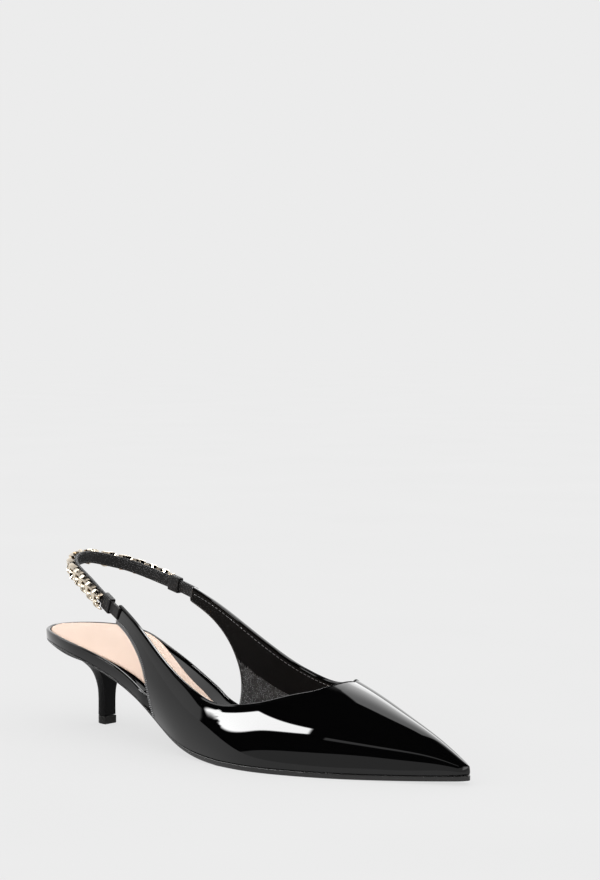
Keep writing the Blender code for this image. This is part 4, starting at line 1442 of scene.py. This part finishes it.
class DressHeel(bpy.types.Operator):
    """Covered heel and its top lift"""

    bl_idname = "pump.heel"
    bl_label = "Heel"

    def execute(self, context):
        self.heel_block()
        self.lift()
        return {"FINISHED"}

    def heel_block(self):
        shapes = [spline(HEEL, key, over="up") for key in HeelRow._fields[1:]]
        bottom = (LIFT_HEIGHT + GAP) / SEAT_HEIGHT
        hide, rows = Hide("heel_cover"), []
        for i in range(HEEL_ROWS + 1):
            up = bottom + (1 - bottom) * math.sin(math.pi / 2 * i / HEEL_ROWS)
            width, back, breast, level = (shape(up) for shape in shapes)
            level = 1.0 if i == HEEL_ROWS else min(max(0.0, level), 1.0)
            rows.append(hide.row(heel_ring(HeelRow(up, width, back, breast, level)), HEEL_MASK))
        hide.tube(rows)
        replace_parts(hide.build([heel_finish()], "heel_cover"), "heel")

    def lift(self):
        length, width = LIFT_LENGTH / SEAT_WIDTH, LIFT_WIDTH / SEAT_WIDTH
        ring = heel_ring(HeelRow(0.0, width, LIFT_BACK * length, (1 - LIFT_BACK) * length, 0.0))
        ring = np.array(ring)
        heart = np.mean(ring, axis=0)
        hide, rows = Hide("lift_block"), []
        for row in LIFT:
            points = heart + (ring - heart) * row.wide
            rows.append(hide.row([(x, y, row.up) for x, y, _ in points], row.mask))
        hide.tube(rows)
        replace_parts(hide.build([rubber_finish()], "lift_rubber"), "top_lift")


# Strap, keepers and chain

STRAP_TUCK, STRAP_ROWS = 0.003, 240  # the strap runs on this far inside the quarters
STRAP_MASK, KEEPER_MASK, BAR_MASK = 0.4, 0.6, 0.5  # share of the darker colour mixed in over the strap, the keepers' outsides and the whole end bar, from 0 to 1; on the gold bar it is painted shade
STRAP_STITCH_RADIUS, STRAP_STITCH_INSET = 0.00013, 0.0009
STRAP_STITCH_MARGIN = 0.002  # from the strap's ends to its first and last stitch
STRAP_STITCH_SHARE = 0.72  # share of the pitch that a stitch covers
STRAP_STITCH_LIFTS = (0.00008, -0.00005, -0.00005, 0.00008)  # sunk at its ends, proud between
KEEPER_ROLL = ((0.0, 0.30), (0.00008, 0.10), (0.0003, 0.0))  # in from an end, wall's share lost
KEEPER_EASE, KEEPER_INNER_EASE = 0.0008, 0.0004
BAR_ROLL = ((0.0, 0.00025), (0.00008, 0.00007), (0.00025, 0.0))  # in from an end, thickness lost
BAR_EASE = 0.0005

LinkRow = namedtuple("LinkRow", "along across low high")
# A link's bar, bent over the strap's outside: along in shares of the pitch, across in half
# widths, and how much of the lowest and of the highest level its height takes
LINK = [
    LinkRow(-0.62, 1.00, 1.0, 0.0),
    LinkRow(-0.30, 1.00, 0.5, 0.5),
    LinkRow(0.04, 1.00, 0.0, 1.0),
    LinkRow(0.16, 0.86, 0.0, 1.0),
    LinkRow(0.00, 0.20, 0.0, 1.0),
    LinkRow(-0.22, -0.86, 0.0, 1.0),
    LinkRow(-0.34, -1.00, 0.0, 0.8),
    LinkRow(-0.46, -1.00, 1.0, 0.0),
]
LINK_EASE = 0.00018
ROD_RADIUS, ROD_RUN, ROD_BOW, ROD_INSET = 0.00066, 0.72, 0.0006, 0.0001
ROD_ENDS = ((1, 0.10, 0.0001), (-1, -0.24, -0.0002))  # side, front end along, lift over the bar
# ROD_SHADE is painted shade, darkest at the rods' ends
ROD_SIZES, ROD_SHADE = (0.45, 0.85, 1.0, 1.0, 1.0, 0.85, 0.45), (0.6, 0.2, 0.0, 0.0, 0.0, 0.2, 0.6)
OUTWARD_TILT = 1.6  # how fast a link's section turns to face away from the strap's edge
RING_RADIUS, RING_WIRE, RING_UP, RING_APART = 0.00105, 0.00042, 0.00155, 0.0016
RING_START, RING_END = 0.0006, 0.0012  # from the chain's ends


def circle(radius, count):
    turns = [2 * math.pi * k / count for k in range(count)]
    return [(radius * math.cos(turn), radius * math.sin(turn)) for turn in turns]


def soft_section(wide, low, high, ease, steps=4):
    """A rectangle with rounded corners: across the strap, and out from its middle."""
    points, side = [], wide / 2 - ease
    corners = (
        (side, high - ease, 0), (-side, high - ease, 90),
        (-side, low + ease, 180), (side, low + ease, 270),
    )
    for across, out, turn in corners:
        for k in range(steps + 1):
            angle = math.radians(turn + 90 * k / steps)
            points.append((across + ease * math.cos(angle), out + ease * math.sin(angle)))
    return points


def along_strap(hide, path, places, sections, mask, capped=True):
    """A tube with a section for each place along the strap; gives its rows."""
    rows = []
    for s, section in zip(places, sections):
        centre, _, out, up = path.frame(s)
        rows.append(hide.row([centre + up * a + out * b for a, b in section], mask))
    hide.tube(rows, capped)
    return rows


def both_ends(roll, length):
    """The same rolled edge at both ends of a length."""
    return [*roll, *((length - along, depth) for along, depth in roll[::-1])]


def keeper_starts(path):
    """Where the lateral and the medial keeper begin."""
    return STRAP_START + LATERAL_TAIL, path.length - MEDIAL_TAIL - KEEPER_LENGTH


class DressStrap(bpy.types.Operator):
    """Sling strap with its stitches, and the keepers at both ends"""

    bl_idname = "pump.strap"
    bl_label = "Strap"

    def execute(self, context):
        looks, path, kid = context.scene.pump_strap, Path(), kid_finish()
        hide, half = Hide("strap_leather"), STRAP_THICK / 2
        section = soft_section(STRAP_WIDTH, -half, half, looks.ease)
        start, end = STRAP_START - STRAP_TUCK, path.length + STRAP_TUCK
        places = np.linspace(start, end, STRAP_ROWS + 1)
        along_strap(hide, path, places, [section] * len(places), STRAP_MASK)
        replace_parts(hide.build([kid], "kid_leather"), "sling_strap")
        thread = thread_finish("Black strap thread", STRAP_THREAD)
        stitches = list(self.stitches(path, looks.stitch_pitch))
        cord_along("strap_stitches", stitches, STRAP_STITCH_RADIUS, thread)
        for name, start in zip(("keeper_lateral", "keeper_medial"), keeper_starts(path)):
            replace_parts(self.keeper(name + "_loop", path, start, kid), name)
        return {"FINISHED"}

    def stitches(self, path, pitch):
        """Two rows on the strap's inner face, close to its edges."""
        count = int((path.length - STRAP_START - 2 * STRAP_STITCH_MARGIN) / pitch)
        for row in (-1, 1):
            for k in range(count):
                start = STRAP_START + STRAP_STITCH_MARGIN + k * pitch
                line = []
                for step, lift in enumerate(STRAP_STITCH_LIFTS):
                    centre, _, out, up = path.frame(start + pitch * STRAP_STITCH_SHARE * step / 3)
                    across = row * (STRAP_WIDTH / 2 - STRAP_STITCH_INSET)
                    line.append(centre + up * across + out * (lift - STRAP_THICK / 2))
                yield line

    def keeper(self, name, path, start, finish):
        """A closed leather loop with rolled edges."""
        hide, near, wide = Hide(name), STRAP_THICK / 2 + GAP, STRAP_WIDTH + 2 * GAP
        marks = both_ends(KEEPER_ROLL, KEEPER_LENGTH)
        places = [start + along for along, _ in marks]
        tubes = []
        for inside in (False, True):
            ease = KEEPER_INNER_EASE if inside else KEEPER_EASE
            mask = 0.0 if inside else KEEPER_MASK
            walls = [KEEPER_WALL * (lost if inside else 1 - lost) for _, lost in marks]
            sections = [soft_section(wide + 2 * w, -near - w, near + w, ease) for w in walls]
            tubes.append(along_strap(hide, path, places, sections, mask, capped=False))
        outer, inner = tubes
        hide.bridge(outer[0], inner[0], closed=True)
        hide.bridge(outer[-1], inner[-1], closed=True)
        return hide.build([finish], "kid_leather")


class DressChain(bpy.types.Operator):
    """Nested chevron links, the small rings at their ends and the plain end bar"""

    bl_idname = "pump.chain"
    bl_label = "Chain"

    def execute(self, context):
        looks, path, gold = context.scene.pump_chain, Path(), gold_finish()
        lateral, medial = keeper_starts(path)
        start = lateral + KEEPER_LENGTH + KEEPER_WALL + GAP
        bar = medial - KEEPER_WALL - GAP - CHAIN_BAR
        hide, links = Hide("chain_links"), round((bar - start) / CHAIN_PITCH)
        pitch = (bar - GAP - start) / links
        for k in range(links):
            self.link(hide, path, start + pitch * (k + 0.5), pitch, looks)
        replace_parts(hide.build([gold], "pale_gold", sharp=40), "chain")
        rings = list(self.rings(path, start + RING_START, bar - RING_END))
        cord_along("chain_rings", rings, RING_WIRE, gold, sides=3, cyclic=True)
        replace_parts(self.bar(path, bar, gold), "chain_bar")
        return {"FINISHED"}

    def link(self, hide, path, s, pitch, looks):
        """One chevron: a flat bar bent over the strap's outside, with a rod along each edge."""
        half = looks.bar_thick / 2
        edge, high = CHAIN_WIDTH / 2 - half, CHAIN_THICK - half
        bar = [(row.along, edge * row.across, half * row.low + high * row.high) for row in LINK]
        marks = smoothed(bar, 2)
        line, ups = self.bent(path, s, pitch, marks)
        # painted shade: each bar darkens toward its low ends, down between the links
        shade = [max(0.0, 1 - height / high) for _, _, height in marks]
        sweep(hide, line, ups, eased_square(looks.bar_width / 2, half, LINK_EASE), shade)
        last = len(ROD_SIZES) - 1
        for side, front, lift in ROD_ENDS:
            rod = [
                (front - ROD_RUN * k / last, side * (edge - ROD_INSET),
                 high + lift - ROD_BOW * (2 * k / last - 1) ** 2)
                for k in range(last + 1)
            ]
            line, ups = self.bent(path, s, pitch, rod)
            sweep(hide, line, ups, circle(ROD_RADIUS, 12), ROD_SHADE, ROD_SIZES)

    def bent(self, path, s, pitch, marks):
        """Points and outward directions on the chain's band, from shares of the pitch."""
        line, ups = [], []
        for along, across, height in marks:
            place = s + along * pitch
            centre, _, out, up = path.frame(place)
            out_by = STRAP_THICK / 2 + GAP + height
            line.append(centre + up * (across - chain_drop(path, place)) + out * out_by)
            tilt = across / CHAIN_WIDTH * OUTWARD_TILT
            ups.append(out * (height / CHAIN_THICK) ** 2 + up * tilt)
        return line, ups

    def rings(self, path, *places):
        """Small rings that tie the chain to the keeper and to the bar."""
        for s in places:
            centre, along, out, up = path.frame(s)
            for across in (-RING_APART, RING_APART):
                heart = centre + up * (across - chain_drop(path, s))
                heart = heart + out * (STRAP_THICK / 2 + GAP + RING_UP)
                yield [heart + along * a + out * b for a, b in circle(RING_RADIUS, 20)]

    def bar(self, path, start, gold):
        hide, seat = Hide("chain_end_bar"), STRAP_THICK / 2 + GAP
        high = seat + CHAIN_THICK * CHAIN_BAR_HEIGHT
        marks = both_ends(BAR_ROLL, CHAIN_BAR)
        places = [start + along for along, _ in marks]
        sections = [
            soft_section(CHAIN_WIDTH - 2 * lost, seat + lost, high - lost, BAR_EASE)
            for _, lost in marks
        ]
        along_strap(hide, path, places, sections, BAR_MASK)
        return hide.build([gold], "pale_gold")


# Studio

CAMERA_PLACE = (0.8008, -0.7464, 0.2009)
CAMERA_YAW, CAMERA_PITCH = 42.0, 3.198  # degrees
CAMERA_LENS, CAMERA_SENSOR, CAMERA_CLIP = 91.07, 36.0, 0.01
FLOOR_SIZE, FLOOR_DROP = 14.0, 0.0001  # the table lies a hair under the shoe
FLOOR_CLOUD = 0.01  # how far its grey wanders

# Edges of the dark part of the studio, as (azimuth, elevation) in degrees
LOW_EDGE = ((-140.5, -10.8), (-75, 26.4))  # dark over the slanted edge through these
SIDE_EDGE = ((-142.7, -12.2), (-129.8, 8.8))  # and on the camera's side of the edge through these
CAMERA_SIDE, UPRIGHT = (-47, 0), (-41, 0)
OVER_TABLE, OVERHEAD = 0.15, 0.82  # heights in the sky, from 0 at the horizon to 1 at the top
EDGE_SOFT, TABLE_SOFT, OVERHEAD_SOFT = 0.006, 0.01, 0.05
DARK = 0.004  # share of the walls' light left in the dark part

Card = namedtuple("Card", "corners brightness softness")
SKY_UP = Vector((0, 0, 1))


def direction(azimuth, elevation):
    a, e = math.radians(azimuth), math.radians(elevation)
    return Vector((math.cos(e) * math.cos(a), math.cos(e) * math.sin(a), math.sin(e)))


def plane_through(first, second, inside):
    """Normal of the plane through the object and two directions, on the side of a third."""
    plane = first.cross(second).normalized()
    return plane if plane.dot(inside) > 0 else -plane


def card_group():
    """A lit card in the sky: the directions inside four planes through the object."""
    tree, given, made = effect(
        "Light Card",
        [("Direction", VECTOR, (0, 0, 1))]
        + [(f"Edge {k}", VECTOR, (0, 0, 1)) for k in range(1, 5)]
        + [("Softness", FLOAT, 0.02), ("Brightness", FLOAT, 1.0)],
        [("Light", FLOAT)],
    )
    total = given.outputs["Brightness"]
    for k in range(1, 5):
        reach = reached(tree, given.outputs["Direction"], given.outputs[f"Edge {k}"])
        scaled = combined(tree, "DIVIDE", reach, given.outputs["Softness"])
        inside = remapped(tree, scaled, start=-1.0, smooth=True)
        total = combined(tree, "MULTIPLY", total, inside)
    tree.links.new(total, made.inputs["Light"])
    return tree


def card_light(tree, look, card, group):
    """One card: its edge planes come from its four corners, given as azimuth and elevation."""
    corners = [direction(*corner) for corner in card.corners]
    heart = sum(corners, Vector())
    sockets = {"Direction": look, "Softness": card.softness, "Brightness": card.brightness}
    for k, corner in enumerate(corners):
        following = corners[(k + 1) % len(corners)]
        sockets[f"Edge {k + 1}"] = plane_through(corner, following, heart)
    return put(tree, "ShaderNodeGroup", sockets, node_tree=group).outputs["Light"]


def studio_cards(looks):
    """Softboxes over the vamp, over the ridge and round the other sides."""
    return [
        Card([(-128.6, 9.3), (-111.5, 45), (-90, 48.8), (-89.3, 43)], looks.side_box, 0.009),
        Card([(155, 84), (128, 30), (90, 30), (75, 88)], looks.top_box * 0.45, 0.008),
        Card([(140, 66), (128, 30), (90, 30), (80, 66)], looks.top_box * 0.6, 0.22),
        Card([(-84, 40.5), (-84, 43), (-68, 43), (-68, 40.5)], 1.2, 0.006),
        Card([(134, 30), (134, 52), (100, 52), (100, 30)], 2.0, 0.03),
        Card([(-45, 14), (-45, 40), (-20, 40), (-20, 14)], 3.0, 0.06),
        Card([(12, 12), (12, 55), (42, 55), (42, 12)], 9.0, 0.04),
        Card([(-178, 30), (-178, 58), (-150, 58), (-150, 30)], 5.0, 0.05),
    ]


def wall_masks(tree, look):
    """Where the studio is dark, and which walls stand on the camera's side.

    It is dark over a slanted edge on the camera's side, and high overhead. That side's own
    boundary slants too, and stands upright from a little over the table's horizon.
    """
    low_edge = plane_through(*(direction(*end) for end in LOW_EDGE), SKY_UP)
    side_edge = plane_through(*(direction(*end) for end in SIDE_EDGE), direction(*CAMERA_SIDE))
    over_edge, slanted, beside, over_table, overhead = (
        remapped(tree, reached(tree, look, way), limit - soft, limit + soft, smooth=True)
        for way, limit, soft in (
            (low_edge, 0.0, EDGE_SOFT), (side_edge, 0.0, EDGE_SOFT),
            (direction(*UPRIGHT), 0.0, EDGE_SOFT),
            (SKY_UP, OVER_TABLE, TABLE_SOFT), (SKY_UP, OVERHEAD, OVERHEAD_SOFT),
        )
    )
    near = combined(tree, "MAXIMUM", slanted, combined(tree, "MULTIPLY", beside, over_table))
    dark = combined(tree, "MAXIMUM", combined(tree, "MULTIPLY", over_edge, near), overhead)
    return dark, near


def studio_world(looks):
    """Backdrop for the camera, even light for matt faces, walls and softboxes for gloss."""
    world = bpy.data.worlds.new("Studio")
    world.use_nodes = True
    tree = world.node_tree
    back = tree.nodes["Background"]
    back.inputs["Color"].default_value = (1.0, 1.0, 1.0, 1.0)
    look = put(tree, "ShaderNodeTexCoord").outputs["Generated"]
    dark, near = wall_masks(tree, look)
    walls = remapped(tree, near, low=looks.surround, high=looks.near_wall)
    wall = combined(tree, "MULTIPLY", walls, remapped(tree, dark, low=1.0, high=DARK))
    group = card_group()
    for card in studio_cards(looks):
        wall = combined(tree, "ADD", wall, card_light(tree, look, card, group))
    ray = put(tree, "ShaderNodeLightPath").outputs
    for kind, light in (("Is Diffuse Ray", looks.even_light), ("Is Camera Ray", looks.backdrop)):
        mixed = put(tree, "ShaderNodeMix", {0: ray[kind], 2: wall, 3: light}, data_type="FLOAT")
        wall = mixed.outputs[0]
    tree.links.new(wall, back.inputs["Strength"])
    world.cycles.sampling_method = "NONE"
    return world


def floor_finish(looks):
    """Pale table, lit from within so that shadows stay faint, and brighter in reflections."""
    made, tree, shader = finish_named(
        "Pale table", Roughness=0.9, Specular_IOR_Level=0.0, Emission_Strength=looks.floor_glow
    )
    ray = put(tree, "ShaderNodeLightPath").outputs["Is Glossy Ray"]
    glow = remapped(tree, ray, low=1.0, high=looks.floor_gloss)
    tree.links.new(glow, shader.inputs["Emission Color"])
    cloud = noise(tree, own_place(tree), scale=6.0, detail=2.0).outputs["Fac"]
    low, high = looks.floor_grey - FLOOR_CLOUD, looks.floor_grey + FLOOR_CLOUD
    tree.links.new(remapped(tree, cloud, low=low, high=high), shader.inputs["Base Color"])
    return made


def studio_floor(looks):
    sheet, half = bmesh.new(), FLOOR_SIZE / 2
    corners = [(-half, -half), (half, -half), (half, half), (-half, half)]
    sheet.faces.new([sheet.verts.new((x, y, -FLOOR_DROP)) for x, y in corners])
    data = bpy.data.meshes.new("table")
    sheet.to_mesh(data)
    sheet.free()
    data.materials.append(floor_finish(looks))
    table = bpy.data.objects.new("table", data)
    bpy.context.scene.collection.objects.link(table)


def studio_camera():
    """Yaw round the shoe, a slight look down, a long lens."""
    back, right = direction(CAMERA_YAW - 90, CAMERA_PITCH), direction(CAMERA_YAW, 0)
    turned = Matrix((right, back.cross(right), back)).transposed().to_4x4()
    data = bpy.data.cameras.new("studio view")
    data.lens, data.sensor_width, data.clip_start = CAMERA_LENS, CAMERA_SENSOR, CAMERA_CLIP
    camera = bpy.data.objects.new("studio view", data)
    camera.matrix_world = Matrix.Translation(CAMERA_PLACE) @ turned
    bpy.context.scene.collection.objects.link(camera)
    bpy.context.scene.camera = camera


class DressStudio(bpy.types.Operator):
    """Sets the pale table, the softboxes and the camera"""

    bl_idname = "pump.studio"
    bl_label = "Studio"

    def execute(self, context):
        looks = context.scene.pump_studio
        studio_floor(looks)
        context.scene.world = studio_world(looks)
        studio_camera()
        context.scene.view_settings.view_transform = "Standard"
        return {"FINISHED"}


# Panel and registration


class PumpPanel(bpy.types.Panel):
    """Sizes, colours and pieces of the pump"""

    bl_idname = "VIEW3D_PT_pump"
    bl_label = "Slingback Pump"
    bl_space_type = "VIEW_3D"
    bl_region_type = "UI"
    bl_category = "Pump"

    def draw(self, context):
        for name, kind in LOOKS.items():
            box = self.layout.box()
            box.label(text=kind.bl_rna.description)
            looks = getattr(context.scene, name)
            for key in kind.__annotations__:
                box.prop(looks, key)
        for operator in OPERATORS:
            self.layout.operator(operator.bl_idname)


LOOKS = {
    "pump_patent": PatentLooks,
    "pump_lining": LiningLooks,
    "pump_sock": SockLooks,
    "pump_sole": SoleLooks,
    "pump_strap": StrapLooks,
    "pump_chain": ChainLooks,
    "pump_studio": StudioLooks,
}
OPERATORS = (
    DressStudio, DressSole, DressHeel, DressFootbed, DressUpper, DressEdges, DressStrap, DressChain,
)


def register():
    for name, kind in LOOKS.items():
        bpy.utils.register_class(kind)
        setattr(bpy.types.Scene, name, bpy.props.PointerProperty(type=kind))
    for kind in (*OPERATORS, PumpPanel):
        bpy.utils.register_class(kind)


def unregister():
    for kind in (PumpPanel, *reversed(OPERATORS)):
        bpy.utils.unregister_class(kind)
    for name, kind in reversed(LOOKS.items()):
        delattr(bpy.types.Scene, name)
        bpy.utils.unregister_class(kind)


def main():
    register()
    for operator in OPERATORS:
        group, name = operator.bl_idname.split(".")
        getattr(getattr(bpy.ops, group), name)()


if __name__ == "__main__":
    main()
